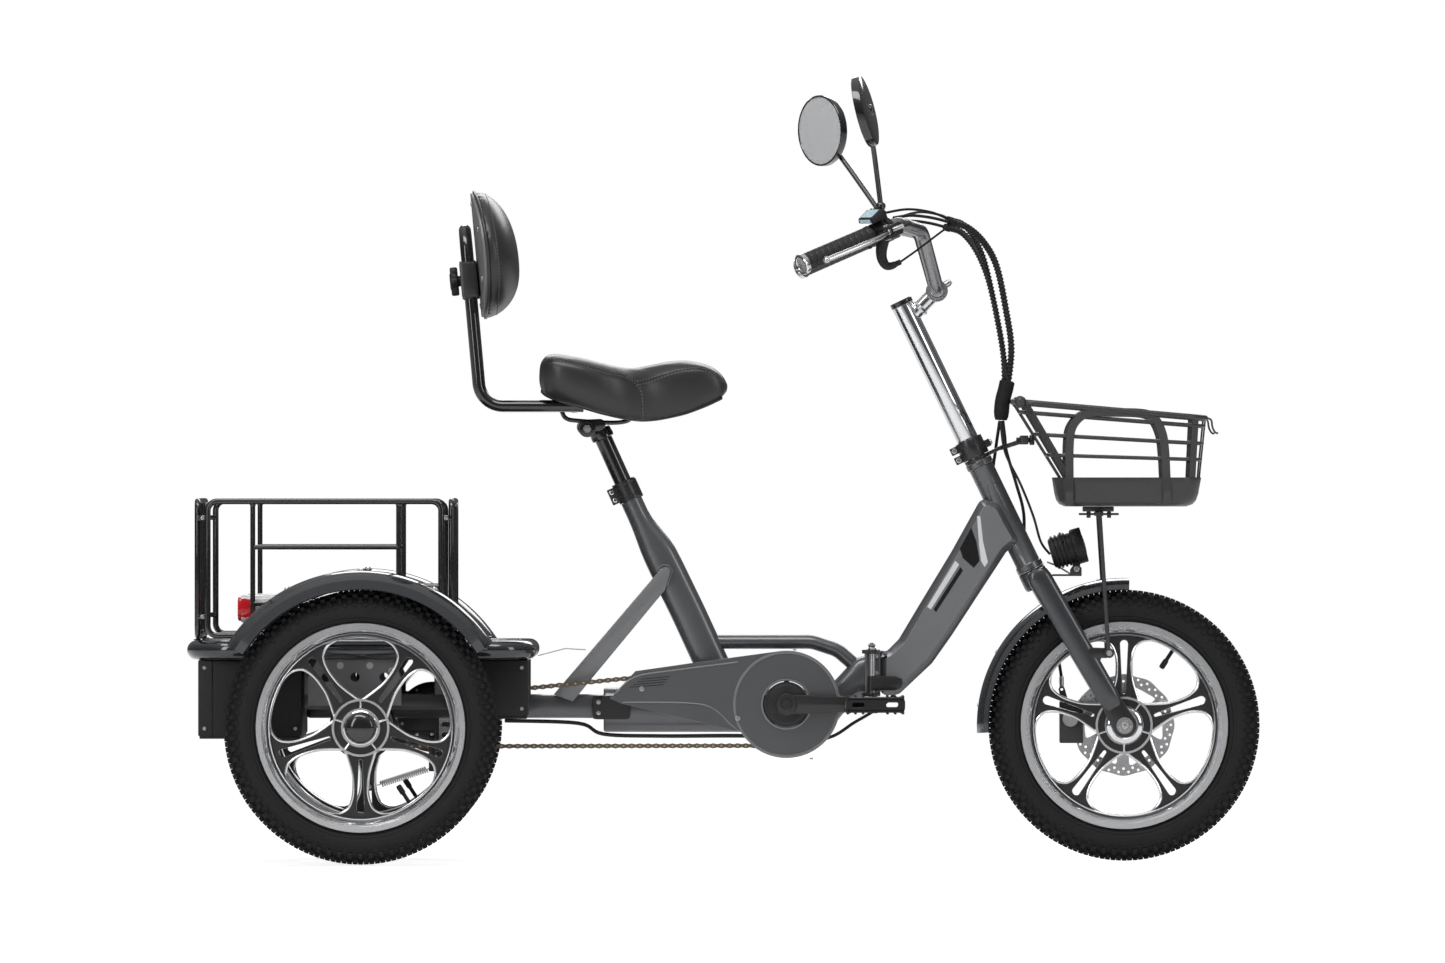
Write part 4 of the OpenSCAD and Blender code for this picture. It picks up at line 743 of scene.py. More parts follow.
def make_pedal(name, cx, side, body, cad):
    part = Part(Matrix.Translation((cx, 0, bz)))
    y0, y1 = (84, 178) if side > 0 else (-178, -84)
    for z0, z1 in ((-13, -6), (6, 13)):
        for x in (-45, 38):
            part.box(x, x + 7, y0, y1, z0, z1, 1.4)
        for k in range(5):
            y = y0 + (y1 - y0 - 7) * k / 4
            part.box(-40, 40, y, y + 7, z0 + 1, z1 - 1, 1.2)
        for x in (-43, -31, -19, 19, 31, 43):
            for y in (y0 + 3.5, (y0 + y1) / 2, y1 - 3.5):
                z = z0 if z0 < 0 else z1
                part.lathe([(2.4, 0), (1.6, 1.9), (0.3, 2.0)], (x, y, z - math.copysign(0.4, z)),
                           AZ * math.copysign(1, z), 8)
    for y in (y0, y1 - 7):
        part.cut_plate(rounded_box(-46, 46, -10, 10, 4),
                       [rounded_box(-36, -17, -4, 4, 3), rounded_box(17, 36, -4, 4, 3)], y, y + 7, 0.8)
    part.lathe([(7.1, y0 + 1), (12, y0 + 1), (13, y0 + 6), (11, y0 + 20), (11, y1 - 20), (13, y1 - 6), (12, y1 - 1),
                (7.1, y1 - 1)], (0, 0, 0), AY, 32, True)
    reflector = Part(Matrix.Translation((cx, 0, bz)))
    for x in (-46.6, 45.4):
        reflector.box(x, x + 1.2, y0 + 26, y1 - 26, -5, 5, 0.4)
    lamp = reflector.done(name + "_reflectors", body, AMBER)
    return part.done(name + "_body", body, PLASTIC, cad, "black_plastic"), lamp


make_pedal("pedal_r", bx + 138, -1, "pedal_right", "pedal_right")
make_pedal("pedal_l", bx - 138, 1, "pedal_left", "pedal_left")

guard = Part()
tail = [(-180, 255), (-140, 298), (-70, 308), *arc_line(bx, bz, 84, 100, -130, 60), (26, 202), (-162, 247)]
guard.use(0).cut_plate(tail, [circle(bx, bz, 36.5, 64)], -60.5, -58, 0.6)
# The raised ring round the crank is in the lighter frame paint: painted highlight.
guard.use(1).lathe([(83.4, -60.3), (83.4, -61.6), (81.4, -62.2), (79.4, -61.6), (79, -60.3)], (bx, 0, bz), AY,
                   120, True)
guard.lathe([(40, -60.3), (39.6, -62.6), (37.2, -63), (36.6, -62), (36.4, -59)], (bx, 0, bz), AY, 80, True)
fold = [(-172, -60.6, 262), (-140, -60.6, 289), (-76, -60.6, 299.5), (20, -60.6, 312)]
guard.tube(smooth_path(fold, 5), 1.3, 8)
guard.tube(smooth_path([(-160, -60.6, 249), (-60, -60.6, 248), (-20, -60.6, 240), (8, -60.6, 215),
                        (22, -60.6, 204)], 6), 1.3, 8)
for k in range(4):
    guard.use(2).prism([(-150 + 6 * k, 272 + 4.2 * k), (-96 + 3 * k, 276 + 4.2 * k), (-96 + 3 * k, 277.4 + 4.2 * k),
                        (-149 + 6 * k, 273.2 + 4.2 * k)], -60.9, -60.4)
guard.use(3)
for x, z in ((-130, 270), (20, 224), (168, 246)):
    guard.bolt((x, -60.5, z), -AY, 4.2, 2.4)
for x, z in ((109, 330), (135, 162.5)):
    guard.soft_rod((x, -60, z), (x, -60, z + (2.5 if z > bz else -2.5)), 2.6, 0.5, 12)
for p in ((-130, 258), (20, 224), (176, 240)):
    guard.rod((p[0], -58, p[1]), (p[0], -27.1, p[1]), 4.5, 12)
guard.done("guard", "chassis", [FRAME_GREY, FRAME_GREY_PAINTED_HIGHLIGHT, SATIN_BLACK, STEEL], "chainguard", "frame_paint")


# ---------- rear frame ----------

def section(centre, side, up, half_side, half_up, power=2.6, n=32):
    """One ring of a soft-cornered tube."""
    ring = []
    for k in range(n):
        a = 2 * math.pi * k / n
        c, s = math.cos(a), math.sin(a)
        ring.append(centre + side * half_side * math.copysign(abs(c) ** (2 / power), c)
                    + up * half_up * math.copysign(abs(s) ** (2 / power), s))
    return ring


POST_TOP = Vector((-161.2, 0, 596.4))
POST_UP = Vector((-math.sin(math.radians(24.3)), 0, math.cos(math.radians(24.3))))
POST_SIDE = Vector((math.cos(math.radians(24.3)), 0, math.sin(math.radians(24.3))))
COLLAR_S = (565 - 596.4) / math.cos(math.radians(24.3))


def on_post(s, forward=0.0):
    return POST_TOP + POST_UP * s + POST_SIDE * forward


chassis = Part()
beam_rings = [section(Vector((x, 0, 236.5)), AY, AZ, 27 * g, 34.5 * g, 2.5, 36)
              for x, g in ((-190, 0.93), (-188.5, 0.98), (-186, 1.0), (0, 1.0), (100, 1.0), (150, 1.0))]
for share in (0.15, 0.35, 0.6, 0.85, 1.0):
    ease = share * share * (3 - 2 * share)
    beam_rings.append(section(Vector((150 + 69 * share, 0, 236.5 + 53 * ease)), AY, AZ, 27, 34.5 - 2.5 * share,
                              2.5 + share, 36))
chassis.use(0).loft(beam_rings)
tube_rings = []
for s, forward, half_x, half_y, power in ((-345, 10, 27, 21.6, 2.8), (-200, 9, 27, 21.6, 2.8),
                                          (-120, 6.8, 27, 21.6, 2.7), (-95, 6, 26.4, 21.2, 2.6),
                                          (-80, 4.9, 24.8, 20.4, 2.5),
                                          (-65, 3.4, 22.2, 19.4, 2.3), (-50, 1.9, 19.6, 18.4, 2.1),
                                          (-38, 0.8, 17.9, 17.6, 2.0), (-25, 0.2, 17.1, 17.1, 2.0),
                                          (0, 0, 17, 17, 2.0)):
    tube_rings.append(section(on_post(COLLAR_S + s, forward), POST_SIDE, AY, half_x, half_y, power, 36))
chassis.loft(tube_rings)
step = rounded_path([(-30, 0, 343), (136, 0, 343), (176, 0, 330), (222, 0, 290)], 44, steps=10)
chassis.tube(step, 11, 24)
chassis.lathe([(11, -2), (13.6, 0), (13.8, 2), (12.2, 4.6), (11, 6)], (-20, 0, 343), AX, 24, True)
chassis.soft_rod((BB[0], -34, BB[1]), (BB[0], 34, BB[1]), 21, 1.4, 40)
chassis.box(-345, -178, -20, 20, 224, 261, 7)
# The flat stays are in the lighter frame paint, standing for their lit face: painted highlight.
for y in (-28, 18):
    strut = [(-268, 261), (-238, 250), (-94, 424), (-84, 456), (-90, 462), (-100, 458)]
    chassis.use(1).prism(strut, y, y + 10, 1.2)
chassis.use(0)
chassis.tube([(-104, -28, 459), (-97, -28.2, 464), (-88, -28.3, 463), (-82, -28.3, 455), (-90, -28.2, 432)], 1.5, 8)
hx, hy = 230, 44
chassis.box(218.5, 229.8, -33, 33, 258, 331, 2.5)
for z in (258, 309):
    chassis.soft_rod((hx, hy, z), (hx, hy, z + 22), 8, 0.8, 24)
    chassis.box(219.5, 229.8, 31, hy, z, z + 22, 1.0)
chassis.use(2).soft_rod((hx, hy, 254), (hx, hy, 335), 5, 0.8, 20)
chassis.hex_nut((hx, hy, 335), AZ, 6.5, 4)
for z in (258, 325):
    chassis.use(3).soft_rod((hx, -43, z), (hx, -43, z + 6), 8, 0.6, 20)
    chassis.box(214, 229.6, -50, -31, z, z + 6, 0.8)
chassis.use(2).soft_rod((hx, -43, 258), (hx, -43, 331), 5, 0.6, 20)
chassis.soft_rod((hx, -43, 331), (hx, -43, 334), 6.4, 0.8, 20)
chassis.use(3).cut_plate(rounded_box(-207, -148, 222, 259, 6), [], -29.6, -20, 1.0)
chassis.box(-207, -150, 20, 29.6, 222, 259, 2)
chassis.box(-207, -190, -29.6, 29.6, 255, 259, 1)
chassis.use(2)
for z in (232, 249):
    chassis.bolt((-198, -29.6, z), -AY, 3.6, 2.0, False)
chassis.done("frame_rear", "chassis", [FRAME_GREY, FRAME_GREY_PAINTED_HIGHLIGHT, STEEL, SATIN_BLACK], "rear_frame", "frame_paint")

pack = Part()
pack.loft([section(Vector((x, 0, 236.5)), AY, AZ, 23.4 * g, 30.6 * g, 2.5, 32) for x, g in
           ((-186.5, 0.9), (-184, 1.0), (58, 1.0), (60, 0.96))])
pack.done("battery", "chassis", PLASTIC, "battery_pack", "black_plastic")

collar = Part()
s0 = COLLAR_S + 0.3
collar.use(0).lathe([(13.8, 0), (18, 0), (18.7, 1), (18.7, 5), (17.6, 6.5), (17.6, 26), (18.7, 27.5), (18.7, 31),
                     (18, 32), (13.8, 32)], on_post(s0), POST_UP, 40, True)
ear = Part(Matrix.Translation(on_post(s0)) @ Matrix.Rotation(math.radians(-24.3), 4, "Y"))
ear.use(0).box(-29, -12, -9, 9, 3, 29, 1.5)
ear.box(12, 20.5, -6, 6, -2, 30, 2)
for z in (9.5, 22.5):
    ear.use(1).bolt((-23, -9, z), -AY, 3.8, 2.8)
    ear.use(2).bolt((-23, 9, z), AY, 3.8, 2.8)
ear.done("collar_ear", "chassis", [SATIN_BLACK, CHROME, STEEL])
collar.done("collar", "chassis", SATIN_BLACK, "seatpost_clamp", "black_paint")

# ---------- rear carriage ----------

TRAY_Z = 316.7
carriage = Part()
carriage.use(0).box(-655, -345, -20, 20, 224, 261, 6)
for side in (-1, 1):
    y = side * 200
    carriage.box(-655, -428, y - 12, y + 12, 240, 264, 3)
    carriage.lathe([(8.7, -12), (23, -12), (24, -11), (24, 11), (23, 12), (8.7, 12)], (rx, y, rz), AY, 40, True)
    for x in (-655, -452):
        carriage.box(x, x + 24, y - 12, y + 12, 262, TRAY_Z, 2)
    plate_y = side * 213.5
    line = [(-648, 246), (-503, 246), (-503, 290), (-516, TRAY_Z), (-634, TRAY_Z), (-648, 290)]
    slots = [circle(x, 290, 7, 24) for x in (-620, -575, -530)]
    carriage.use(1).cut_plate(line, slots, plate_y - 2.5, plate_y + 2.5, 0.5)
    for x, z in ((-612, 262), (-590, 262), (-540, 262), (-518, 300), (-598, 308), (-552, 308)):
        carriage.use(2).lathe([(5.4, 0), (5.4, 0.9), (2.6, 0.9), (2.6, 3), (1.5, 3)],
                              (x, plate_y + side * 2.5, z), AY * side, 18)
    carriage.use(0)
for x in (-655, -452):
    carriage.box(x, x + 24, -200, 200, 290, 314, 3)
    carriage.box(x, x + 24, -18, 18, 258, 292, 2)
carriage.done("carriage", "chassis", [SATIN_BLACK, PLATE_GREY_AND_BOARD_HIGHLIGHT, STEEL], "carriage_frame", "frame_paint")

LOOP = [(-822, -235, 332), (-307, -235, 332), (-307, 235, 332), (-822, 235, 332)]
bumper = Part()
bumper.tube(rounded_path(LOOP, 60, True, 12), 15, 28, True)
bumper.done("bumper", "chassis", GLOSS_GREY, "bumper_loop", "fender_gloss")

tray = Part()


def tray_ring(grow, z):
    """Rounded rectangle of the cargo tray."""
    line = []
    for cx, cy, start in ((-368.3, 173.7, 0), (-760.7, 173.7, 90), (-760.7, -173.7, 180), (-368.3, -173.7, 270)):
        for k in range(9):
            a = math.radians(start + 90 * k / 8)
            line.append((cx + (46 + grow) * math.cos(a), cy + (46 + grow) * math.sin(a), z))
    return line


tray.loft([tray_ring(-3, 317), tray_ring(0, 320), tray_ring(0, 343), tray_ring(-1.5, 346.5), tray_ring(-8, 347),
           tray_ring(-14, 345), tray_ring(-17, 340), tray_ring(-18, 323)])
for k in range(9):
    y = -160 + 40 * k
    tray.box(-740, -388, y - 6, y + 6, 322, 325.5, 1.5)
tray.done("tray", "chassis", SATIN_BLACK, "cargo_tray", "black_paint")

RAIL_Z, FOOT_Z = 563.25, 347.0
rack = Part()


def rack_panel(a, b):
    """Welded frame standing between two corners given as (x, y)."""
    low = FOOT_Z + 7.5
    line = rounded_path([(*a, low), (*b, low), (*b, RAIL_Z), (*a, RAIL_Z)], 15, True, 7)
    rack.use(0).tube(line, 4.75, 14, True)
    for share in (0.12, 0.88):
        x, y = (p + share * (q - p) for p, q in zip(a, b))
        rack.lathe([(8, 0), (8, 1.2), (4, 2.4), (4, 8)], (x, y, FOOT_Z), AZ, 14)


def rack_upright(x, y):
    rack.rod((x, y, FOOT_Z + 7.5), (x, y, RAIL_Z), 4.0, 14)
    for z, up in ((FOOT_Z + 12.2, 1), (RAIL_Z - 4.7, -1)):
        rack.lathe([(5.2, 0), (4.7, 1.6), (4.0, 3.0)], (x, y, z), AZ * up, 14)


RACK_X0, RACK_X1 = -819.5, -425.0
for y in (-235, 235):
    x0, x1 = RACK_X0 + 16, RACK_X1 - 16
    rack_panel((x0, y), (x1, y))
    rack_upright(RACK_X0 + 86, y)
    rack_upright(RACK_X1 - 82, y)
    rack.rod((RACK_X0 + 86, y, 492), (RACK_X1 - 82, y, 492), 3.8, 14)
    rack.rod((RACK_X0 + 86, y, 404), (RACK_X1 - 82, y, 404), 3.8, 14)
    rack.rod((RACK_X1 - 82, y, 430), (x1, y, 430), 3.8, 14)
for x in (RACK_X0, RACK_X1):
    rack_panel((x, -223), (x, 223))
    for y in (-223 / 3, 223 / 3):
        rack_upright(x, y)
for x in (RACK_X0, RACK_X1 - 16):
    for side in (-1, 1):
        for z in (380, RAIL_Z - 30):
            y = side * 228
            rack.use(0).box(x, x + 16, y - 7, y + 7, z, z + 8, 1.2)
            rack.use(1).bolt((x + 8, y + side * 7, z + 4), AY * side, 3.2, 2)
rack.done("rack", "chassis", [GLOSS_BLACK, STEEL], "cargo_rack", "black_paint")

skirts = Part()
for x0, x1, y0, y1, z0 in ((-819, -658, -214, 214, 194), (-402, -306, -214, -70, 225), (-402, -306, 70, 214, 225)):
    skirts.use(0).box(x0, x1, y0, y1, z0 + 4, TRAY_Z, 2.5)
    skirts.box(x0 + 2, x1 - 2, y0 + 2, y1 - 2, z0, z0 + 6, 1.5)
    for y in (y0, y1):
        out = -1 if y == y0 else 1
        skirts.box(x0 + 20, x0 + 22.4, min(y, y + out * 1.4), max(y, y + out * 1.4), z0 + 2, TRAY_Z - 1, 0.5)
        for x in (x0 + 10, x1 - 10):
            skirts.use(1).bolt((x, y, z0 + 16), AY * out, 3.0, 1.4)
            skirts.bolt((x, y, TRAY_Z - 12), AY * out, 3.0, 1.4)
            skirts.use(0)
skirts.done("skirts", "chassis", [PLASTIC, STEEL], "skirt_boxes", "black_plastic")


def fender_section(half, crown, drop, lip):
    """Closed section of a rolled fender, as (radius, y)."""
    top, under = [], []
    for k in range(17):
        u = k / 8 - 1
        r = crown - drop * abs(u) ** 2.2
        top.append((r, half * u))
        under.append((r - 2.4, (half - 1.6) * u))
    edge = crown - drop
    curl = [(edge - lip, half * 0.985), (edge - lip - 1.4, half * 0.93), (edge - lip, half * 0.9)]
    return [*top, *curl, *reversed(under), *[(r, -y) for r, y in reversed(curl)]]


def fender_sweep(part, centre, profile, a0, a1, steps=72):
    rings = []
    for k in range(steps + 1):
        share = k / steps
        a = math.radians(a0 + (a1 - a0) * share)
        end = max(0.0, 1 - min(share, 1 - share) * steps / 2.5)
        ring = []
        for r, y in profile:
            ring.append((centre[0] + r * math.cos(a), centre[1] + y * (1 - 0.12 * end * end),
                         centre[2] + r * math.sin(a)))
        rings.append(ring)
    part.loft(rings)


for side_name, side in (("right", -1), ("left", 1)):
    mud = Part()
    mud.use(0)
    fender_sweep(mud, (rx, side * WHEEL_Y, rz), fender_section(40, 244, 15, 14), 32.6, 148)
    for turn in (62, 90, 118):
        t = math.radians(turn)
        d = Vector((math.cos(t), 0, math.sin(t)))
        for y in (side * 282,):
            foot = Vector((rx, y, rz)) + d * (244 - 7.4)
            mud.use(1).hex_nut(foot, d, 4.4, 3.6)
        foot = Vector((rx, side * 300, rz)) + d * 243.4
        mud.use(1).bolt(foot, d, 4.6, 3.0)
        mud.use(2).lathe([(7, 0), (7, 1.2), (4, 1.4)], Vector((rx, side * 300, rz)) + d * 243, d, 20)
    for x in (-759, -386):
        y0, y1 = sorted((side * 249.8, side * 273))
        mud.use(0).box(x, x + 18, y0, y1, 332, 350, 2)
        mud.use(1).bolt((x + 9, side * 262, 350), AZ, 4, 2.6)
    mud.done("fender_rear_" + side_name, "chassis", [GLOSS_GREY, CHROME, WHITE], "rear_fender_" + side_name,
             "fender_gloss")

lamps, lenses = Part(), Part()
for side in (-1, 1):
    y = side * 205
    rings = []
    for x, half_y, half_z, dz in ((-752, 20, 20.5, 0), (-748, 21, 21.5, 0), (-738, 20.5, 21, 1),
                                  (-722, 17, 17.5, 4), (-706, 12.5, 12, 8.5), (-698, 9.5, 9, 11)):
        rings.append(section(Vector((x, y, 396 + dz)), AY, AZ, half_y, half_z, 3.4, 28))
    lamps.use(0).loft(rings)
    lamps.use(1).box(-736, -730, y - 6, y + 6, 347.3, 388, 1)
    rings = []
    for x, half_y, half_z in ((-749, 18.4, 18.8), (-754.4, 18.6, 19), (-756.6, 17.2, 17.6), (-757.3, 14, 14.4)):
        rings.append(section(Vector((x, y, 396)), AY, AZ, half_y, half_z, 3.4, 28))
    lenses.use(0).loft(rings)
    for z in (386, 391, 396, 401, 406):
        lenses.tube([(-757.2, y - 13.5, z), (-757.2, y + 13.5, z)], 0.7, 6)
    for out in (-1, 1):
        lenses.loft([section(Vector((x, y + out * 19.4, 396 + 1.5)), AY, AZ, 1.9, h, 3.0, 16)
                     for x, h in ((-752, 14), (-745, 15), (-733, 12), (-729, 8))])
lamps.done("tail_lamps", "chassis", [WHITE, SATIN_BLACK], "tail_lights", "white_plastic")
lenses.done("tail_lamp_lenses", "chassis", RED, "tail_lenses", "red_lens")

drive_motor = Part()
mx, mz = -459, 225
drive_motor.use(0).lathe([(8, 26), (50, 26), (54, 28), (55, 31), (55, 38), (52.5, 39.5), (52.5, 44), (55, 45.5), (55, 90),
                          (53, 94), (48, 96), (40, 96), (40, 108), (38, 111.4), (33, 112), (30, 110), (14, 110), (13, 112),
                          (0, 112)], (mx, 0, mz), AY, 72)
for k in range(10):
    a = math.radians(36 * k + 12)
    drive_motor.use(2).bolt((mx + 48 * math.cos(a), 26.2, mz + 48 * math.sin(a)), -AY, 2.6, 1.8)
    drive_motor.use(0)
for k in range(24):
    a = math.radians(15 * k)
    c, s = math.cos(a), math.sin(a)
    drive_motor.prism([(mx + c * 54 - s * 1, mz + s * 54 + c * 1), (mx + c * 55.0 - s * 1, mz + s * 55.0 + c * 1),
                       (mx + c * 55.0 + s * 1, mz + s * 55.0 - c * 1), (mx + c * 54 + s * 1, mz + s * 54 - c * 1)], 50, 88)
bracket = rounded_box(-448, -424, 188, 283, 3)
eyes = [strap_line((-441, z), (-431, z), 3.4) for z in (198, 214, 257, 273)]
drive_motor.use(1).cut_plate(bracket, eyes, 20, 25.8, 0.6)
for z in (226, 245):
    drive_motor.use(2).bolt((-436, 20, z), -AY, 4, 2.4)
drive_motor.done("motor_unit", "chassis", [SATIN_BLACK, ALLOY, STEEL], "motor", "black_paint")

band = Part()
band.use(0).lathe([(45.6, -130), (45.6, -112), (47.2, -112), (47.2, -130)], (rx, 0, rz), AY, 72, True)
band.use(1).lathe([(47.2, -131), (47.2, -111), (49, -110), (51.4, -111), (52, -113), (52, -129), (51.4, -131),
                   (49, -132)],
                  (rx, 0, rz), AY, 72, True)
band.box(rx - 10, rx + 10, -130, -112, rz + 49, TRAY_Z, 1.5)
px, pz = rx + 6, rz - 56
band.box(px - 5, px + 5, -129, -113, pz, rz - 46, 1)
band.soft_rod((px, -129, pz), (px, -100, pz), 4, 0.6, 20)
band.box(-462, -452, -118, -106.3, 142, 200, 1)
band.box(-518, -452, -118, -106.3, 194, 206, 1)
for x in (-505, -480, -457):
    band.use(2).bolt((x, -118, 200), -AY, 2.8, 1.6)
band.done("band_brake_unit", "chassis", [STEEL, SATIN_BLACK, ALLOY], "band_brake", "steel")

arm = Part()
arm.use(0).cut_plate(strap_line((px, pz), (px + 4, 118), 6.6), [circle(px, pz, 4.1, 20)], -111, -106, 0.8)
arm.use(1).lathe([(4.1, -106), (6.2, -106), (6.2, -103.6), (4.1, -103.6)], (px, 0, pz), AY, 20, True)
arm.bolt((px + 4, -111, 118), -AY, 3.6, 2.4)
arm.done("brake_lever_arm", "brake_arm", [SATIN_BLACK, STEEL], "brake_arm", "black_paint")

spring = Part()
a, b = Vector((-543, -100, 120)), Vector((-459, -100, 147))
d = (b - a).normalized()
u, w = across(d)
coil = [a + d * 6]
turns, length = 22, (b - a).length - 12
for k in range(turns * 10 + 1):
    t = 2 * math.pi * k / 10
    coil.append(a + d * (6 + length * k / (turns * 10)) + (u * math.cos(t) + w * math.sin(t)) * 4.9)
coil.append(b - d * 6)
spring.tube([a, *coil, b], 0.9, 6)
spring.done("return_spring", "chassis", STEEL, "brake_spring", "steel")


def cable_path(points, steps=7):
    return smooth_path(points, steps)


REAR_ROUTE = [(430, 7, 688.5), (424, 24, 645), (420, 31, 600), (432, 31, 540), (400, 31, 450),
              (352, 31, 372), (316, 31, 318), (276, 31, 274), (250, 31, 246), (205, 24, 218),
              (150, 18, 190), (40, 14, 195), (-100, 14, 195), (-190, 14, 198), (-230, 14, 215),
              (-345, 12, 219)]
REAR_LINE = cable_path(REAR_ROUTE)
rear_line = Part()
rear_line.tube(REAR_LINE[63:], 2.6, 10)
rear_line.tube(cable_path([(x, y - 7, z + (1.5 if x < 150 else -2)) for x, y, z in REAR_ROUTE[10:]]), 2.2, 10)
rear_line.done("rear_cable_run", "chassis", PLASTIC, "rear_cable", "black_plastic")
for part_name, first, last, body in (
        ("rear_cable_head", 0, 14, ("front_frame", "steering", REAR_LINE[14] / 1000, REAR_LINE[0] / 1000)),
        ("rear_cable_side", 14, 42, "front_frame"),
        ("rear_cable_fold", 42, 63, ("chassis", "front_frame", REAR_LINE[63] / 1000, REAR_LINE[42] / 1000))):
    piece = Part()
    piece.tube(REAR_LINE[first:last + 1], 2.6, 10)
    piece.done(part_name, body, PLASTIC)

park_wire = Part()
park_wire.tube([(-292, -60, 322), (-250, -40, 333), (-218, -30, 331)], 0.9, 8)
park_wire.done("tray_wire", "chassis", STEEL)


# ---------- front frame ----------

def smooth_outline(points, radius, steps=4):
    return [(p.x, p.y) for p in rounded_path([(x, z, 0) for x, z in points], radius, True, steps)]


FRONT_OUTLINE = smooth_outline([(242, 331), (252, 327), (272, 347), (303, 399), (355, 485), (401, 568), (430, 560),
                                (462, 500), (440, 484), (355, 354), (324, 310), (272, 261), (242, 258)], 12)
STEER = Matrix.Translation((387, 0, 645)) @ Matrix.Rotation(math.radians(-25.9), 4, "Y")

front = Part()
front_rings = []
for y, amount in ((-27, 10.4), (-26.4, 9.0), (-19.2, 1.4), (-17.6, 0.0), (17.6, 0.0), (19.2, 1.4), (26.4, 9.0),
                  (27, 10.4)):
    line = inset(FRONT_OUTLINE, amount) if amount else FRONT_OUTLINE
    front_rings.append([(x, y, z) for x, z in line])
front.use(0).loft(front_rings, caps=False)
# The flat sides are in the lighter frame paint because they face the light: painted highlight.
for y in (-27, 27):
    flat = [(x, y, z) for x, z in inset(FRONT_OUTLINE, 10.4)]
    front.use(1).faces(flat, [list(range(len(flat)))])
for side in (-1, 1):
    y0, y1 = sorted((side * 26.9, side * 27.4))
    front.use(3).prism([(385, 522), (367, 489), (372, 474), (389, 459), (398, 470), (393, 500)], y0, y1)
    y0, y1 = sorted((side * 26.9, side * 27.6))
    front.use(2).prism([(394, 540), (399, 540), (403.5, 500), (411, 468), (406, 460), (400, 470), (397, 497)],
                       y0, y1)
    front.use(2).prism([(360, 470), (366, 464), (322, 394), (316, 398)], y0, y1)
    front.use(3).prism([(368, 460), (372, 455), (330, 390), (326, 394)], y0, y1)
front.use(0).box(230.2, 243, -33, 33, 258, 331, 1.6)
front.rod((230, 44, 280.2), (230, 44, 308.8), 8, 28)
front.box(230.2, 241, 31, 44, 280.2, 308.8, 1)
for z in (268, 294, 321):
    front.use(4).bolt((236.5, -33, z), -AY, 3.6, 2.4)
front.done("front_frame_body", "front_frame", [FRAME_GREY, FRAME_GREY_PAINTED_HIGHLIGHT, MARK_WHITE, GLOSS_BLACK, STEEL],
           "front_frame", "frame_paint")

head = Part(STEER)
head.use(0).lathe([(14.5, -209.4), (20.4, -209.4), (21.5, -208.4), (21.5, -201), (20.6, -200.2), (19.5, -198.5),
                   (19.5, -32), (20.4, -30.4), (21.5, -29.6), (21.5, -22), (20.6, -20.9), (14.5, -20.9)],
                  (0, 0, 0), AZ, 56, True)
# The weld beads are in the lighter frame paint as their glint: painted highlight.
for side in (-1, 1):
    bead = [(-4 - 9 * math.sin(math.pi * k / 20), side * 19.6 * math.cos(0.22 + 0.02 * math.sin(k)),
             -58 - 6.3 * k) for k in range(21)]
    head.use(1).tube(smooth_path(bead, 2), 1.5, 8, flat=0.6)
head.done("head_tube", "front_frame", [FRAME_GREY, FRAME_GREY_PAINTED_HIGHLIGHT])

latch = Part()
latch.use(0).rod((230, -43, 267), (230, -43, 290), 7.6, 28)
latch.prism([(230, 269), (233, 267), (266, 267), (276, 271), (278, 278), (276, 286), (266, 290), (233, 290),
             (230, 288)], -50.6, -43.4, 1.6)
latch.use(1).bolt((230, -43, 290), AZ, 4.2, 2.2)
latch.done("fold_latch_lever", "fold_lever", [SATIN_BLACK, STEEL], "fold_lever", "black_paint")

# ---------- fork and what it carries ----------

fork = Part()
fork.use(0).soft_rod((493.5, -60, 439.5), (493.5, 60, 439.5), 19, 3, 40)
for side in (-1, 1):
    down = Vector((600 - 493.5, 0, 255 - 439.5)).normalized()
    square = Vector((-down.z, 0, down.x))
    top, low = Vector((493.5, side * 55, 439.5)), Vector((600, side * 54.5, 255))
    rings = []
    for s, half_y, half_x in ((-19, 4, 8), (-17, 8, 14), (-12, 10.4, 17.4), (-4, 11, 18.6), (8, 11, 19),
                              (80, 10.6, 18.6), (160, 9.6, 18), (205, 8.4, 17.4), (222, 6.6, 16), (230, 4.2, 13)):
        share = max(0.0, min(1.0, s / (low - top).length))
        centre = top + down * s + Vector((0, (low.y - top.y) * share, 0))
        rings.append(section(centre, AY, square, half_y, half_x, 2.5, 28))
    fork.loft(rings)
    ends = sorted((side * 50, side * 58))
    fork.use(1).prism(strap_line((598, 258), (624.5, 212.5), 15.5, 19), *ends, 1.0)
    pad = sorted((side * 60, side * 64))
    fork.prism([(570, 334), (562, 319), (596, 318), (605, 326), (597, 333)], *pad, 0.8)
    fork.prism([(572, 332), (564, 320), (585, 312), (592, 326)], *sorted((side * 52, side * 62)), 0.8)
    fork.use(2).lathe([(6, 58), (13, 58), (13, 59.6), (6, 59.6)], (624.5, 0, 212.5), AY * side, 32, True)
    fork.hex_nut((624.5, side * 59.6, 212.5), AY * side, 10.4, 6.4)
fork.use(2).rod((624.5, -58, 212.5), (624.5, 58, 212.5), 6, 24)
fork.done("fork_legs", "steering", [FORK_GREY, SATIN_BLACK, STEEL], "fork", "frame_paint")

crown = Part(STEER)
crown.use(0).lathe([(10, -240), (19, -240), (21, -238), (22, -234), (22, -214), (21.2, -212), (20, -210.4),
                    (10, -210.4)], (0, 0, 0), AZ, 48, True)
crown.use(1).lathe([(14, -210.6), (22.6, -210.6), (22.6, -209.8), (14, -209.8)], (0, 0, 0), AZ, 48, True)
crown.rod((0, 0, -208), (0, 0, 120), 14.2, 32)
crown.done("crown_race", "steering", [FORK_GREY, STEEL])

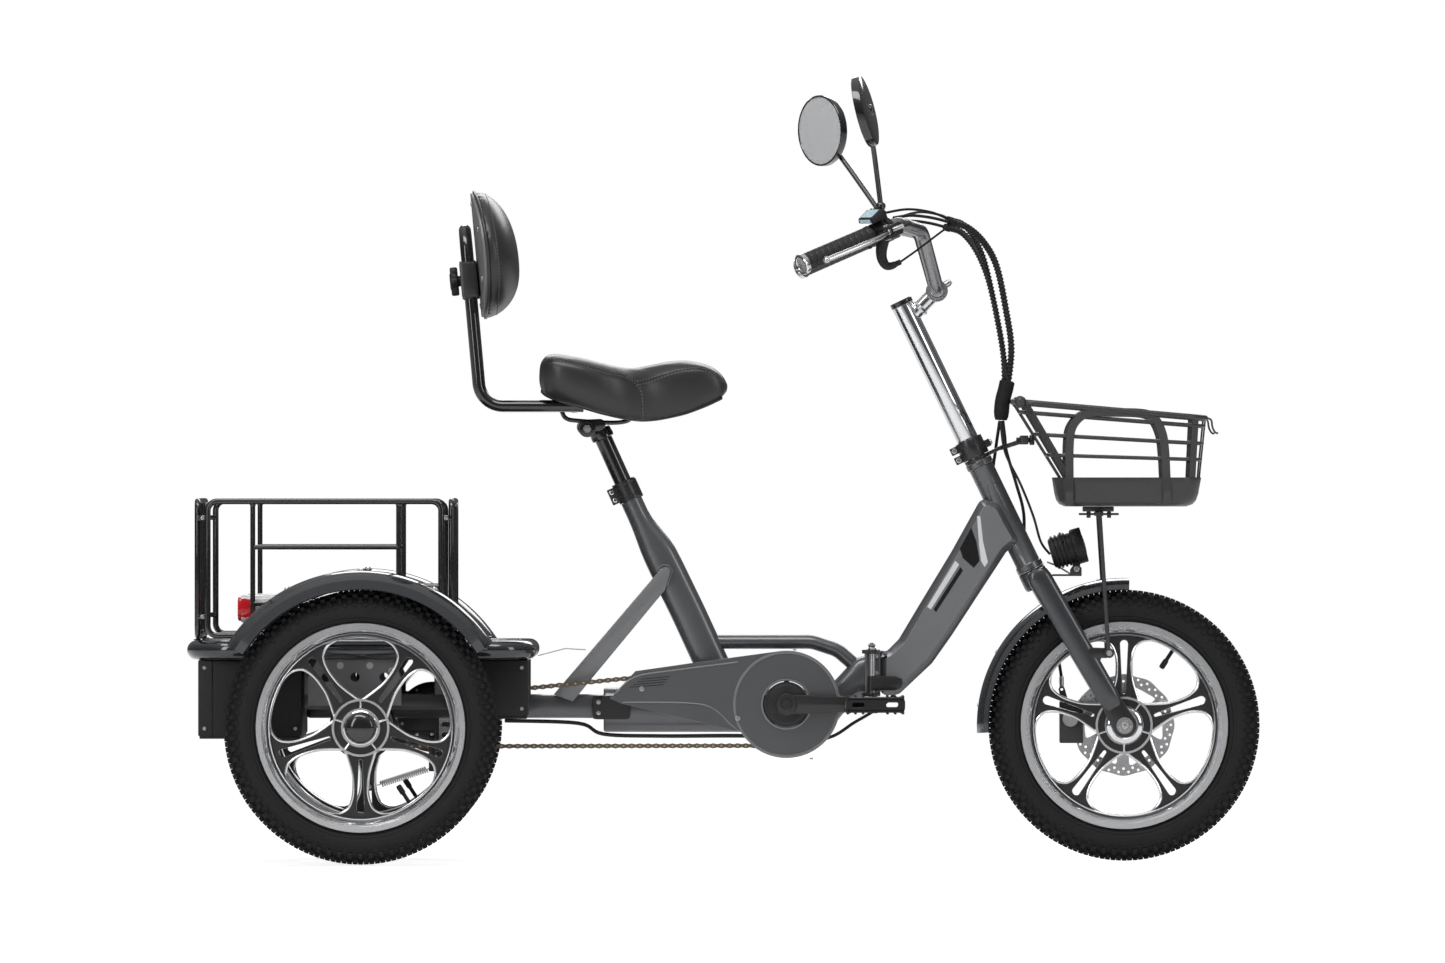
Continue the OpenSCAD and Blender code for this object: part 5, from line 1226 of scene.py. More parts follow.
mud = Part()
mud.use(0)
fender_sweep(mud, (624.5, 0, 212.5), fender_section(33, 230.5, 10, 7.5), 88, 183)
toward = Vector((math.cos(math.radians(120)), 0, math.sin(math.radians(120))))
along = Vector((-toward.z, 0, toward.x))
hub = Vector((624.5, 0, 212.5))
mud.use(1).loft([[hub + toward * r + along * a + AY * b for a, b in ((-11, -8), (11, -8), (11, 8), (-11, 8))]
                 for r in (228.5, 243)])
for turn in (100, 122, 150, 172):
    d = Vector((math.cos(math.radians(turn)), 0, math.sin(math.radians(turn))))
    mud.use(2).bolt(hub + d * 230.2, d, 3.2, 1.8)
mud.done("front_mudguard", "steering", [GLOSS_GREY, SATIN_BLACK, STEEL], "front_fender", "fender_gloss")

caliper = Part()
caliper.use(0).box(524, 561, 28, 35.8, 184, 250, 2.4)
caliper.box(524, 543, 42.3, 54, 184, 250, 2.4)
caliper.box(541, 561, 42.3, 54, 206, 250, 2.4)
caliper.box(524, 535.6, 34, 44, 188, 246, 1.6)
caliper.use(2).cut_plate([(545, 244), (594, 286), (612, 262), (560, 214)], [circle(592, 268, 3.2, 16)], 41.2, 45.4)
for x, z in ((530, 192), (530, 242), (555, 243)):
    caliper.use(1).bolt((x, 54, z), AY, 3.4, 2)
caliper.lathe([(2, 0), (12, 0), (12.4, 1.4), (11, 3), (2, 3)], (541, 25.4, 222), AY, 36)
caliper.done("front_caliper_body", "steering", [SATIN_BLACK, STEEL, DARK_ALLOY], "front_caliper", "black_paint")

pull = Part()
pull.use(0).cut_plate(strap_line((542, 214), (528, 268), 6, 5), [circle(528, 268, 2.2, 14)], 54.4, 58, 0.6)
pull.lathe([(2, 54.4), (9, 54.4), (9, 59.2), (8, 60), (2, 60)], (542, 0, 214), AY, 30)
pull.use(1).bolt((542, 60, 214), AY, 4, 2)
pull.done("caliper_pull_arm", "caliper_arm", [SATIN_BLACK, STEEL], "caliper_arm", "black_paint")

collar = Part(STEER)
collar.use(0).lathe([(14.6, -20.6), (20, -20.6), (20.6, -19.6), (20.6, -15.6), (20, -14.6), (14.6, -14.6)],
                    (0, 0, 0), AZ, 48, True)
collar.box(12, 50, -7, 7, -20.6, -14.6, 1.2)
collar.done("headset_collar", "steering", SATIN_BLACK)

stays = Part()
stays.use(0).prism([(427, 643.5), (432, 643), (470, 655), (470, 661), (464, 661), (427, 648.5)], -5.5, 5.5, 1)
stays.box(462, 474, -60, 60, 652, 666, 1.4)
stays.use(1)
stays.soft_rod((456, -20, 659), (482, -20, 659), 4, 1, 18)
stays.soft_rod((476, -20, 659), (484, -20, 659), 8, 1.6, 8)
stays.soft_rod((456, 20, 659), (482, 20, 659), 4, 1, 18)
stays.use(0).box(560, 608, -30, 30, 547, 554.7, 1.2)
stays.box(579, 591, -70, 70, 540, 547, 1.2)
for side in (-1, 1):
    stays.tube([(585, side * 67.5, 547), (585.6, side * 67.5, 534), (599, side * 67.5, 326)], 3.4, 14)
    stays.lathe([(2, 64.3), (7.4, 64.3), (7.8, 66), (7.8, 69), (7, 70.3), (2, 70.3)], (600, 0, 326), AY * side, 24)
    stays.use(2).hex_nut((600, side * 70.3, 326), AY * side, 5, 3.2)
    stays.use(0)
    for x in (569, 601):
        stays.soft_rod((x, side * 16, 537), (x, side * 16, 547), 3, 0.8, 12)
    stays.soft_rod((554, side * 16, 543), (616, side * 16, 543), 1.8, 0.5, 10)
stays.box(511.8, 558, -9, 9, 446, 449, 0.8)
for side in (-1, 1):
    cheek = sorted((side * 8.2, side * 11.8))
    stays.prism([(540, 446), (558, 446), (558, 459), (554, 463), (545, 463), (540, 456)], *cheek, 0.5)
    stays.use(2).bolt((550, side * 11.8, 457), AY * side, 4.6, 3.6)
    stays.use(0)
stays.use(2).tube([(504, -6, 468), (520, -7, 462), (541, -9, 449)], 1.4, 8)
stays.done("accessory_stays", "steering", [BASKET_GREY, PLASTIC, STEEL], "accessory_brackets", "black_paint")

lamp = Part()
beam_dir = Vector((math.cos(math.radians(16)), 0, math.sin(math.radians(16))))
seat_at = Vector((535, 0, 488))
lamp.use(0).lathe([(0, -26), (19, -26), (22.4, -24.8), (24, -22), (24, 10), (27.4, 11), (28, 13), (28, 26.6),
                   (27.2, 28), (25.2, 28), (24.6, 25.6)], seat_at, beam_dir, 56)
for s in (-19.5, -13, -6.5, 0):
    lamp.lathe([(23.5, s - 1.7), (26.2, s - 1.7), (26.6, s - 1), (26.6, s + 1), (26.2, s + 1.7), (23.5, s + 1.7)],
               seat_at, beam_dir, 56, True)
lamp.use(1).lathe([(25, 24.6), (22, 26.8), (15, 28.6), (7, 29.4), (0, 29.6)], seat_at, beam_dir, 48)
lamp.use(2).lathe([(24.7, 24.4), (25.6, 24.4), (25.6, 27.6), (24.7, 27.6)], seat_at, beam_dir, 48, True)
lamp.use(0).prism([(545, 457), (555, 457), (557, 472), (543, 470)], -7.6, 7.6, 1)
lamp.soft_rod((550, -7.7, 457), (550, 7.7, 457), 5, 0.5, 20)
hood = []
for k in range(9):
    t = math.radians(-60 + 15 * k)
    hood.append(seat_at + beam_dir * -4 + Vector((0, math.sin(t), 0)) * 27.4
                + Vector((-beam_dir.z, 0, beam_dir.x)) * math.cos(t) * 27.4)
lamp.tube(smooth_path(hood, 2), 1.6, 8)
lamp.done("headlamp", "headlight", [PLASTIC, CLEAR, CHROME], "headlight", "gloss_black")

# ---------- front basket ----------

BASKET_HALF = 140


def basket_point(u, v, f, out=0.0):
    x0, x1 = 523 - 72 * f - out, 740 + 9 * f + out
    return Vector((x0 + (x1 - x0) * u, (BASKET_HALF - 22 + 22 * f + out) * v, 603 + (116 - 26 * u) * f))


def basket_loop(f, out=0.0):
    corners = [basket_point(u, v, f, out) for u, v in ((0, -1), (1, -1), (1, 1), (0, 1))]
    return rounded_path(corners, 40, True, 8)


def flat_band(part, path, normal, width=13.0, thick=2.6):
    path = smooth_path(path, 4)
    rings = []
    for i, p in enumerate(path):
        d = (path[min(i + 1, len(path) - 1)] - path[max(i - 1, 0)]).normalized()
        n = (Vector(normal) - Vector(normal).dot(d) * d).normalized()
        s = d.cross(n)
        rings.append([p + s * width / 2 * a + n * thick / 2 * b for a, b in
                      ((-1, -0.4), (-0.94, -1), (0.94, -1), (1, -0.4), (1, 0.4), (0.94, 1), (-0.94, 1), (-1, 0.4))])
    part.loft(rings)


def wall_point(x, z, side, out=0.0):
    """Point on a long wall of the basket, from its place in the side view."""
    f = (z - 603) / 103.0
    f = max(-0.5, min(1.0, f))
    return Vector((x, side * (BASKET_HALF - 22 + 22 * f + out), z))


basket = Part()
basket.tube(basket_loop(1.0), 4.5, 14, True)
for f in (0.28, 0.56, 0.86):
    basket.tube(basket_loop(f, -0.5), 2.8, 12, True)
for side in (-1, 1):
    arch = [(537, 557), (537, 575), (537, 603), (537, 650), (541, 678), (556, 696), (576, 701.5), (620, 702),
            (655, 700), (671, 691), (682, 668), (686, 640), (688, 603), (689, 575), (689, 560)]
    points = []
    for x, z in arch:
        p = wall_point(x, z, side, 1.5)
        if z < 600:
            p.y = side * (121.5 - (600 - z) * 0.06 - max(0, 575 - z) ** 1.4 * 0.16)
        points.append(p)
    flat_band(basket, points, (0, side, -0.2))
for u, v in ((0.055, 0.93), (0.945, 0.93)):
    for side in (-1, 1):
        lean = (-0.7 if u < 0.5 else 0.7, side * 0.75, -0.2)
        flat_band(basket, [basket_point(u, v * side, f, 0.6) for f in (-0.25, 0.0, 0.3, 0.6, 0.97)], lean)
for u in (0, 1):
    for v in (-0.5, 0.5):
        flat_band(basket, [basket_point(u, v, f, 1.0) for f in (-0.3, 0.0, 0.4, 0.7, 0.98)],
                  (-1 if u == 0 else 1, 0, -0.2))
for side in (-1, 1):
    p = basket_point(0.03, 0.965 * side, 1.0)
    basket.ball(p, 9.5, (1, 1, 1), 22)
    hook = basket_point(1.0, 0.8 * side, 1.0)
    basket.tube(smooth_path([hook + Vector(o) for o in ((2, 0, 0), (9, 0, -3), (11, 0, -14), (15, 0, -22),
                                                       (20, 0, -24))], 4), 1.6, 10)
basket.done("wire_basket", "steering", BASKET_GREY, "basket", "black_paint")

tray = Part()


def dish(x0, x1, half, z, r=36.0):
    return [(x, y, z) for x, y in rounded_box(x0, x1, -half, half, r, 8)]


tray.loft([dish(532, 720, 98, 555, 30), dish(524, 730, 108, 558.6), dish(519.5, 735.5, 114, 565),
           dish(517, 738.4, 116.4, 574), dish(514.4, 741.4, 118.6, 590), dish(513, 743, 120, 599),
           dish(513.2, 742.8, 119.8, 600.4), dish(516.6, 739.4, 116.4, 600.4), dish(517.4, 738.6, 115.6, 599),
           dish(521, 734.6, 112, 576), dish(527, 728, 106, 563), dish(535, 717, 96, 559.2, 28)])
tray.done("basket_floor_tray", "steering", BASKET_GREY, "basket_tray", "black_plastic")

FRONT_BRAKE = [(435, 2, 688.5), (438, 10.5, 665), (441, 12, 640), (456, 16, 590), (468, 44, 545), (472, 74, 480),
               (500, 78, 400), (520, 74, 330), (528, 62, 285)]
LAMP_WIRE = [(431, -8, 688.5), (438, -16, 640), (462, -28, 590), (482, -24, 540), (494, -8, 500), (508.4, 0, 480.3)]
lines = Part()
lines.tube(cable_path(FRONT_BRAKE), 2.6, 10)
lines.tube(cable_path(LAMP_WIRE), 2.0, 10)
lines.use(1).soft_rod((527.6, 62.6, 288), (528, 60, 270), 3.6, 0.6, 14)
lines.done("front_cable_runs", "steering", [PLASTIC, STEEL], "front_cables", "black_plastic")

# ---------- stem and bars ----------

clamp = Part(STEER)
clamp.use(0).lathe([(17.2, -14), (21.4, -14), (22, -13), (22, 15), (21.4, 16), (17.2, 16)], (0, 0, 0), AZ, 56, True)
clamp.box(-33, -18, -10, 10, -13, -1, 1.2)
clamp.box(-33, -18, -10, 10, 3, 15, 1.2)
for z in (-7, 9):
    for side in (-1, 1):
        clamp.use(1).bolt((-27, side * 10, z), AY * side, 4.4, 3)
clamp.use(0).box(17, 30, -6, 6, -8, 4, 1)
clamp.use(1).bolt((30, 0, -2), AX, 3.8, 3)
clamp.done("stem_clamp_collar", "bars", [SATIN_BLACK, STEEL], "stem_clamp", "black_paint")

column = Part(STEER)
column.use(0).lathe([(14.6, -13.8), (16.6, -13.8), (17, -13), (17, 249.6), (14.6, 249.6)], (0, 0, 0), AZ, 64, True)
column.use(1).lathe([(0, 258), (16.8, 258), (18, 256.8), (18, 250.4), (17.2, 249.8), (10, 249.8)], (0, 0, 0), AZ, 56)
column.done("stem_column", "bars", [CHROME, GLOSS_BLACK], "stem", "chrome")

neck = Part()
BAR_HUB = Vector((331.5, 0, 892.3))
reach = (BAR_HUB - Vector((296, 0, 856))).normalized()
neck.use(0).rod(Vector((296, 0, 856)), BAR_HUB - reach * 4, 11.4, 40)
neck.lathe([(12, 0), (14.6, 3), (12.2, 7)], Vector((303, 0, 863)), reach, 36)
for y0, y1 in ((-22, -2.6), (2.6, 22)):
    neck.use(1).lathe([(11.3, y0), (16.4, y0), (17, y0 + 0.8), (17, y1 - 0.8), (16.4, y1), (11.3, y1)],
                      BAR_HUB, AY, 48, True)
neck.use(1).lathe([(11.3, -3), (15.8, -3), (15.8, 3), (11.3, 3)], BAR_HUB, AY, 48, True)
forward = Vector((19, 0, 13)).normalized()
for y in (-12, 12):
    boss = BAR_HUB + AY * y
    neck.use(1).soft_rod(boss + forward * 14, boss + forward * 24, 5.6, 1, 24)
    neck.use(2).bolt(boss + forward * 24, forward, 4, 3)
neck.done("stem_neck", "bars", [CHROME, ALLOY, STEEL])

GRIP_IN, GRIP_OUT = Vector((224.6, 234, 976)), Vector((118.5, 300, 930))
GRIP_DIR = (GRIP_OUT - GRIP_IN).normalized()
half_bar = rounded_path([(331.5, 0, 892.3), (331.5, 50, 892.3), (306, 118, 985), GRIP_IN - GRIP_DIR * 55, GRIP_OUT],
                        32, False, 9)
whole_bar = [Vector((p.x, -p.y, p.z)) for p in reversed(half_bar[1:])] + half_bar[1:]
bar = Part()
bar.use(0).tube(whole_bar, 11.1, 32)
bar.use(1)
for side in (-1, 1):
    bar.lathe([(11, side * 23), (11.5, side * 23), (11.5, side * 41), (11, side * 41)], BAR_HUB, AY, 32, True)
bar.done("handlebar_tube", "bars", [DARK_ALLOY, ALLOY], "handlebar", "alloy")

GRIP_YAW = math.atan2(GRIP_DIR.y, GRIP_DIR.x)
GRIP_DROP = -math.asin(GRIP_DIR.z)


def grip_place(side):
    """Frame of one grip: +X outwards along it, +Y forwards, from its inner end."""
    flip = Matrix.Scale(-1, 4, AY)
    turn = Matrix.Rotation(GRIP_YAW, 4, "Z") @ Matrix.Rotation(GRIP_DROP, 4, "Y")
    place = Matrix.Translation(GRIP_IN) @ turn @ flip
    return flip @ place if side < 0 else place


for side, side_name in ((-1, "right"), (1, "left")):
    hold = Part(grip_place(side))
    rings = []
    count = 110
    for k in range(count + 1):
        s = 133.0 * k / count
        ring = []
        for j in range(32):
            a = 2 * math.pi * j / 32
            wrap = ((s + 4.2 * math.sin(a)) / 11.0) % 1.0
            groove = 0.9 if wrap < 0.13 else 0.0
            flare = 0.9 * max(0.0, 1 - s / 8) + 0.7 * max(0.0, (s - 122) / 11)
            r = 14.9 + flare - (groove if 5 < s < 127 else 0.0)
            ring.append((s, r * math.cos(a), r * math.sin(a)))
        rings.append(ring)
    hold.use(0).loft(rings)
    hold.use(1).lathe([(16.2, 126.5), (16.6, 127.5), (16.6, 133.4), (15.4, 134.6), (12.2, 134.6), (11.4, 133.6),
                       (11.4, 126.5)], (0, 0, 0), AX, 40, True)
    hold.use(2).lathe([(11.4, 133.4), (0, 134.0)], (0, 0, 0), AX, 32)
    if side < 0:
        hold.done("hand_grip_right", "bars", [GRIP_RUBBER, CHROME, ALLOY], "grips", "grip_rubber")
    else:
        hold.done("hand_grip_left", "bars", [GRIP_RUBBER, CHROME, ALLOY])

    mount = Part(grip_place(side))
    mount.use(0).lathe([(11.3, -24), (15, -24), (15.5, -23.4), (15.5, -6.6), (15, -6), (11.3, -6)], (0, 0, 0), AX, 36,
                       True)
    mount.lathe([(11.3, -40), (15, -40), (15.5, -39.4), (15.5, -30.6), (15, -30), (11.3, -30)], (0, 0, 0), AX,
                36, True)
    mount.box(-22, -6, 8, 23, -7.6, 7.6, 2)
    mount.box(-25, -4, 19, 40, -9.6, -5.2, 1.4)
    mount.box(-25, -4, 19, 40, 5.2, 9.6, 1.4)
    mount.soft_rod((-35, 0, 10), (-35, 0, 29), 4.8, 0.8, 20)
    mount.box(-48, -22, 4, 24, -13, 7, 3)
    mount.use(1).bolt((-14, 30, 9.6), AZ, 4.4, 2.4)
    mount.bolt((-14, 30, -9.6), -AZ, 4.4, 2.4)
    mount.bolt((-35, 15.5, 0), AY, 3.4, 2.4)
    mount.soft_rod((-25, 28, 0), (-44, 33, 0), 3.6, 0.6, 18)
    mount.use(0).soft_rod((-42, 32.6, 0), (-56, 36.6, 0), 3.0, 0.6, 16)
    names = ("perches", "black_plastic") if side < 0 else ((), None)
    mount.done("lever_perch_" + side_name, "bars", [PLASTIC, STEEL], *names)

    lever = Part(grip_place(side))
    lever.use(0).lathe([(3.1, -4.9), (6.6, -4.9), (7, -4.2), (7, 4.2), (6.6, 4.9), (3.1, 4.9)], (-14, 30, 0), AZ, 28,
                       True)
    blade = smooth_path([(-12, 31, 0), (2, 39.5, 0), (20, 46, 0), (52, 47, 0), (86, 44.6, 0), (110, 42.2, 0)], 6)
    widths = [6.2 - 1.6 * math.sin(math.pi * i / (len(blade) - 1)) for i in range(len(blade))]
    rings = []
    for i, p in enumerate(blade):
        d = (blade[min(i + 1, len(blade) - 1)] - blade[max(i - 1, 0)]).normalized()
        rings.append(section(p, d.cross(AZ), AZ, widths[i], 4.0, 2.8, 20))
    lever.loft(rings)
    lever.ball((112, 42, 0), 6.4, (1, 1, 0.8), 20)
    lever.done("hand_lever_" + side_name, "brake_lever_" + side_name, ALLOY, "brake_lever_" + side_name, "alloy")

right_pod = Part()
right_pod.use(0)
pod_path = smooth_path([(246, -214, 970), (243, -213, 954), (244, -212, 940), (250, -212, 930), (258, -212, 929),
                        (265, -211, 932)], 5)
pod_widths = [10 - 5 * i / (len(pod_path) - 1) for i in range(len(pod_path))]
right_pod.tube(pod_path, pod_widths, 18)
right_pod.soft_rod((263, -211, 931), (273, -209, 935.5), 4.4, 0.8, 16)
right_pod.done("lever_shroud", "bars", [PLASTIC])

twist = Part(grip_place(-1))
twist.lathe([(11.3, -5.7), (13.6, -5.7), (14, -5.2), (14, -0.8), (13.6, -0.3), (11.3, -0.3)], (0, 0, 0), AX, 36, True)
twist.loft([[(x, y, z) for x, y in ((-5.6, -9), (-0.4, -9), (-0.4, -9 - d), (-5.6, -9 - d))]
            for z, d in ((-6, 4), (-10, 10), (-16, 14), (-19, 12))])
twist.done("thumb_throttle", "throttle", PLASTIC, "throttle", "black_plastic")

meter = Part(grip_place(-1))
meter.use(0).lathe([(11.4, -29.7), (13.6, -29.7), (14, -29.2), (14, -24.9), (13.6, -24.4), (11.4, -24.4)],
                   (0, 0, 0), AX, 36, True)
meter.box(-29.6, -24.4, -6, 6, 9, 22, 0.8)
case = smooth_outline([(-27, 18.6), (-27, 33), (-21, 35.4), (-1, 27.5), (0.6, 20), (-3, 18.6)], 2.4, 3)
meter.prism(case, -21, 21, 2.0)
top_in, top_out = Vector((-20.6, 0, 35.5)), Vector((-2.2, 0, 28.3))
slope = (top_out - top_in).normalized()
rise = Vector((-slope.z, 0, slope.x))
meter.use(1).loft([[top_in + slope * a + AY * b + rise * h for a, b in
                    ((0.6, -16), (18.6, -16), (18.6, 16), (0.6, 16))] for h in (-0.6, 0.35)])
meter.use(1).loft([[Vector((0.0 + h, b, 20.4 + a)) for a, b in ((0, -15), (5.6, -15), (5.6, 15), (0, 15))]
                   for h in (0.1, 0.9)])
for b in (-12, -4, 4, 12):
    meter.use(2).soft_rod(Vector((-23.8, b, 34)), Vector((-24.6, b, 36.0)), 1.9, 0.4, 12)
meter.done("bar_display", "bars", [PLASTIC, SCREEN, GRIP_RUBBER], "display", "gloss_black")


def mirror_axis(yaw, tilt):
    y, t = math.radians(yaw), math.radians(tilt)
    return Vector((math.cos(t) * math.cos(y), math.cos(t) * math.sin(y), -math.sin(t)))


GRIP_UP = Vector((math.sin(GRIP_DROP) * math.cos(GRIP_YAW), math.sin(GRIP_DROP) * math.sin(GRIP_YAW),
                  math.cos(GRIP_DROP)))
PIVOT = GRIP_IN - GRIP_DIR * 35 + GRIP_UP * 36
for side_name, middle, yaw, tilt, stalk in (
        ("right", (216, -262, 1168), 170, 13.7, [(232, -232, 1100), (224, -258, 1150), (226, -262, 1165)]),
        ("left", (153, 262, 1148), 218, 2, [(205, 242, 1075), (168, 262, 1128), (164, 270, 1146)])):
    foot = Vector((PIVOT.x, -PIVOT.y if side_name == "right" else PIVOT.y, PIVOT.z))
    axis = mirror_axis(yaw, tilt)
    glass = Part()
    glass.use(0).lathe([(52.6, 3.6), (53.4, 5), (55.2, 5), (56, 4.2), (56, -5), (54.6, -7.6), (48, -9.4),
                        (30, -10.6), (12, -11), (0, -11)], middle, axis, 64)
    glass.use(1).lathe([(53.2, 3.9), (30, 4.1), (0, 4.2)], middle, axis, 64)
    glass.use(0).tube(smooth_path([foot, *stalk], 6), 4, 16)
    glass.lathe([(0, 0), (7, 1), (9, 4), (9, 8), (7, 10)], Vector(middle) - axis * 15, axis, 28)
    glass.ball(foot, 7.7, (1, 1, 1), 24)
    glass.use(2).hex_nut(foot + Vector((0, 0, -9)), AZ, 6.6, 4)
    glass.done("mirror_head_" + side_name, "mirror_" + side_name, [GLOSS_BLACK, MIRROR_GLASS, STEEL],
               "mirror_" + side_name, "gloss_black")


def resample(path, step):
    """Points at even spacing along a path."""
    path = [Vector(p) for p in path]
    line, left = [path[0]], step
    for a, b in zip(path, path[1:]):
        span, at = (b - a).length, 0.0
        while at + left <= span:
            at += left
            line.append(a.lerp(b, at / span))
            left = step
        left -= span - at
    return line


hoses = Part()
for route, radius in (([(355, -95, 997), (378, -74, 991), (404, -46, 968), (425, -20, 930), (440, -10, 860),
                        (448, -4, 800), (441, 0, 735)], 5.6),
                      ([(350, 88, 992), (372, 68, 984), (394, 44, 956), (412, 22, 912), (426, 12, 850),
                        (436, 8, 790), (438, 7, 738)], 5.2),
                      ([(352, -60, 1002), (376, -34, 993), (402, -12, 950), (420, 0, 880), (433, 5, 810),
                        (444, -8, 738)], 4.8)):
    line = resample(smooth_path(route, 12), 1.45)
    radii = [radius if (i // 2) % 2 else radius - 1.3 for i in range(len(line))]
    hoses.use(0).tube(line, radii, 14)
    hoses.use(1).soft_rod(line[0] + (line[0] - line[1]).normalized() * 7, line[3], radius + 0.7, 1, 20)
hoses.use(1).tube(smooth_path([(442, 0, 752), (439, 0, 738), (434, 0, 718), (432, 0, 690)], 4),
                  [9.5, *[12] * 10, 11, 9], 24)
for path, radius in ((((272, -209, 935), (300, -170, 955), (330, -126, 978), (353, -98, 995)), 1.7),
                     (((262, -205, 1004), (290, -170, 1008), (322, -132, 1005), (352, -97, 998)), 2.4),
                     (((250, -200, 1012), (285, -150, 1018), (322, -96, 1014), (350, -62, 1003)), 2.0),
                     (((262, 205, 1000), (292, 165, 1004), (322, 124, 1000), (347, 91, 993)), 2.4),
                     (((252, 190, 1002), (300, 60, 1016), (335, -36, 1011), (351, -60, 1003)), 2.0)):
    hoses.use(1).tube(smooth_path(path, 6), radius, 10)
hoses.done("cable_hose_bundle", ("bars", "steering", Vector((0.44, 0, 0.80)), Vector((0.434, 0, 0.715))),
           [PLASTIC, RUBBER], "cable_hoses", "black_plastic")

# ---------- seat and backrest ----------

post = Part()
post.use(0).rod(on_post(COLLAR_S - 100), on_post(COLLAR_S + 120), 13.6, 48)
post.lathe([(13.7, 104), (17.5, 106), (18, 110), (16.8, 121), (10, 122)], on_post(COLLAR_S), POST_UP, 40)
for side in (-1, 1):
    y0, y1 = sorted((side * 12, side * 27))
    post.prism(strap_line((-220, 679), (-196, 683), 12, 9), y0, y1, 2)
    post.soft_rod((-215.7, side * 26, 676.5), (-215.7, side * 30, 676.5), 13.4, 1.6, 36)
    post.use(1).hex_nut((-215.7, side * 30, 676.5), AY * side, 6.8, 4.6)
    post.use(0).tube(smooth_path([(-256, side * 22, 712), (-254, side * 22, 700), (-247, side * 22, 692),
                                  (-230, side * 22, 689), (-180, side * 22, 686), (-156, side * 22, 688),
                                  (-146, side * 22, 694), (-138, side * 22, 700)], 5), 3.5, 14)
post.done("seat_post", "seat", [GLOSS_BLACK, STEEL], "seatpost", "black_paint")

STATIONS = [(-292, 60, 768, 774, 771, 746), (-290, 78, 777, 783, 776, 738), (-285, 92, 782, 788.5, 779.5, 731),
            (-276, 103, 785, 792.5, 782, 725.5), (-262, 110, 785, 792, 781, 720), (-240, 113, 781.5, 788, 777, 713.5),
            (-217, 111, 776, 783.5, 772.5, 707), (-200, 108, 771.5, 779, 769.5, 702), (-180, 102, 766.5, 774, 767, 697),
            (-162, 94, 762, 770.5, 766.5, 693), (-147, 84, 757, 769, 768, 690.5), (-132, 73, 751, 769.5, 770.5, 689),
            (-116, 62, 752, 772, 774, 689.5), (-100, 54, 758.5, 774.5, 777.5, 691.5), (-80, 47, 766, 777, 781, 695.5),
            (-60, 42, 770.5, 778, 781.5, 700.5), (-42, 38.5, 771.5, 777.5, 780.5, 707), (-27, 35, 769.5, 774.5, 777.5,
            713), (-14, 31, 763.5, 769, 771.5, 719), (-4, 26, 755.5, 761, 763, 724), (2, 20, 748.5, 753, 754, 728),
            (6, 12, 742, 745, 746, 733)]


def saddle_ring(x, w, edge, ridge, middle, foot):
    tall = edge - foot
    side = [(0.0, middle), (0.22, middle + 0.22 * (ridge - middle)), (0.42, middle + 0.75 * (ridge - middle)),
            (0.58, ridge), (0.74, ridge - 0.18 * (ridge - edge)), (0.87, ridge - 0.5 * (ridge - edge)),
            (0.95, edge), (0.99, edge - 0.1 * tall), (1.0, edge - 0.3 * tall), (0.985, edge - 0.55 * tall),
            (0.94, foot + 0.22 * tall), (0.87, foot + 0.06 * tall), (0.78, foot), (0.6, foot + 3), (0.3, foot + 5),
            (0.0, foot + 5)]
    right = [(x, -w * u, z) for u, z in side]
    left = [(x, w * u, z) for u, z in reversed(side[1:-1])]
    return [Vector(p) for p in right + left]


def between(rows, steps):
    rows = [Vector(r[:3]).to_tuple() + tuple(r[3:]) for r in rows]
    fine = []
    for i in range(len(rows) - 1):
        a, b, c, d = (rows[min(max(i + k, 0), len(rows) - 1)] for k in (-1, 0, 1, 2))
        for k in range(steps):
            t = k / steps
            fine.append([0.5 * (2 * q + (r - p) * t + (2 * p - 5 * q + 4 * r - s) * t * t
                                + (3 * q - p - 3 * r + s) * t ** 3) for p, q, r, s in zip(a, b, c, d)])
    return [*fine, rows[-1]]


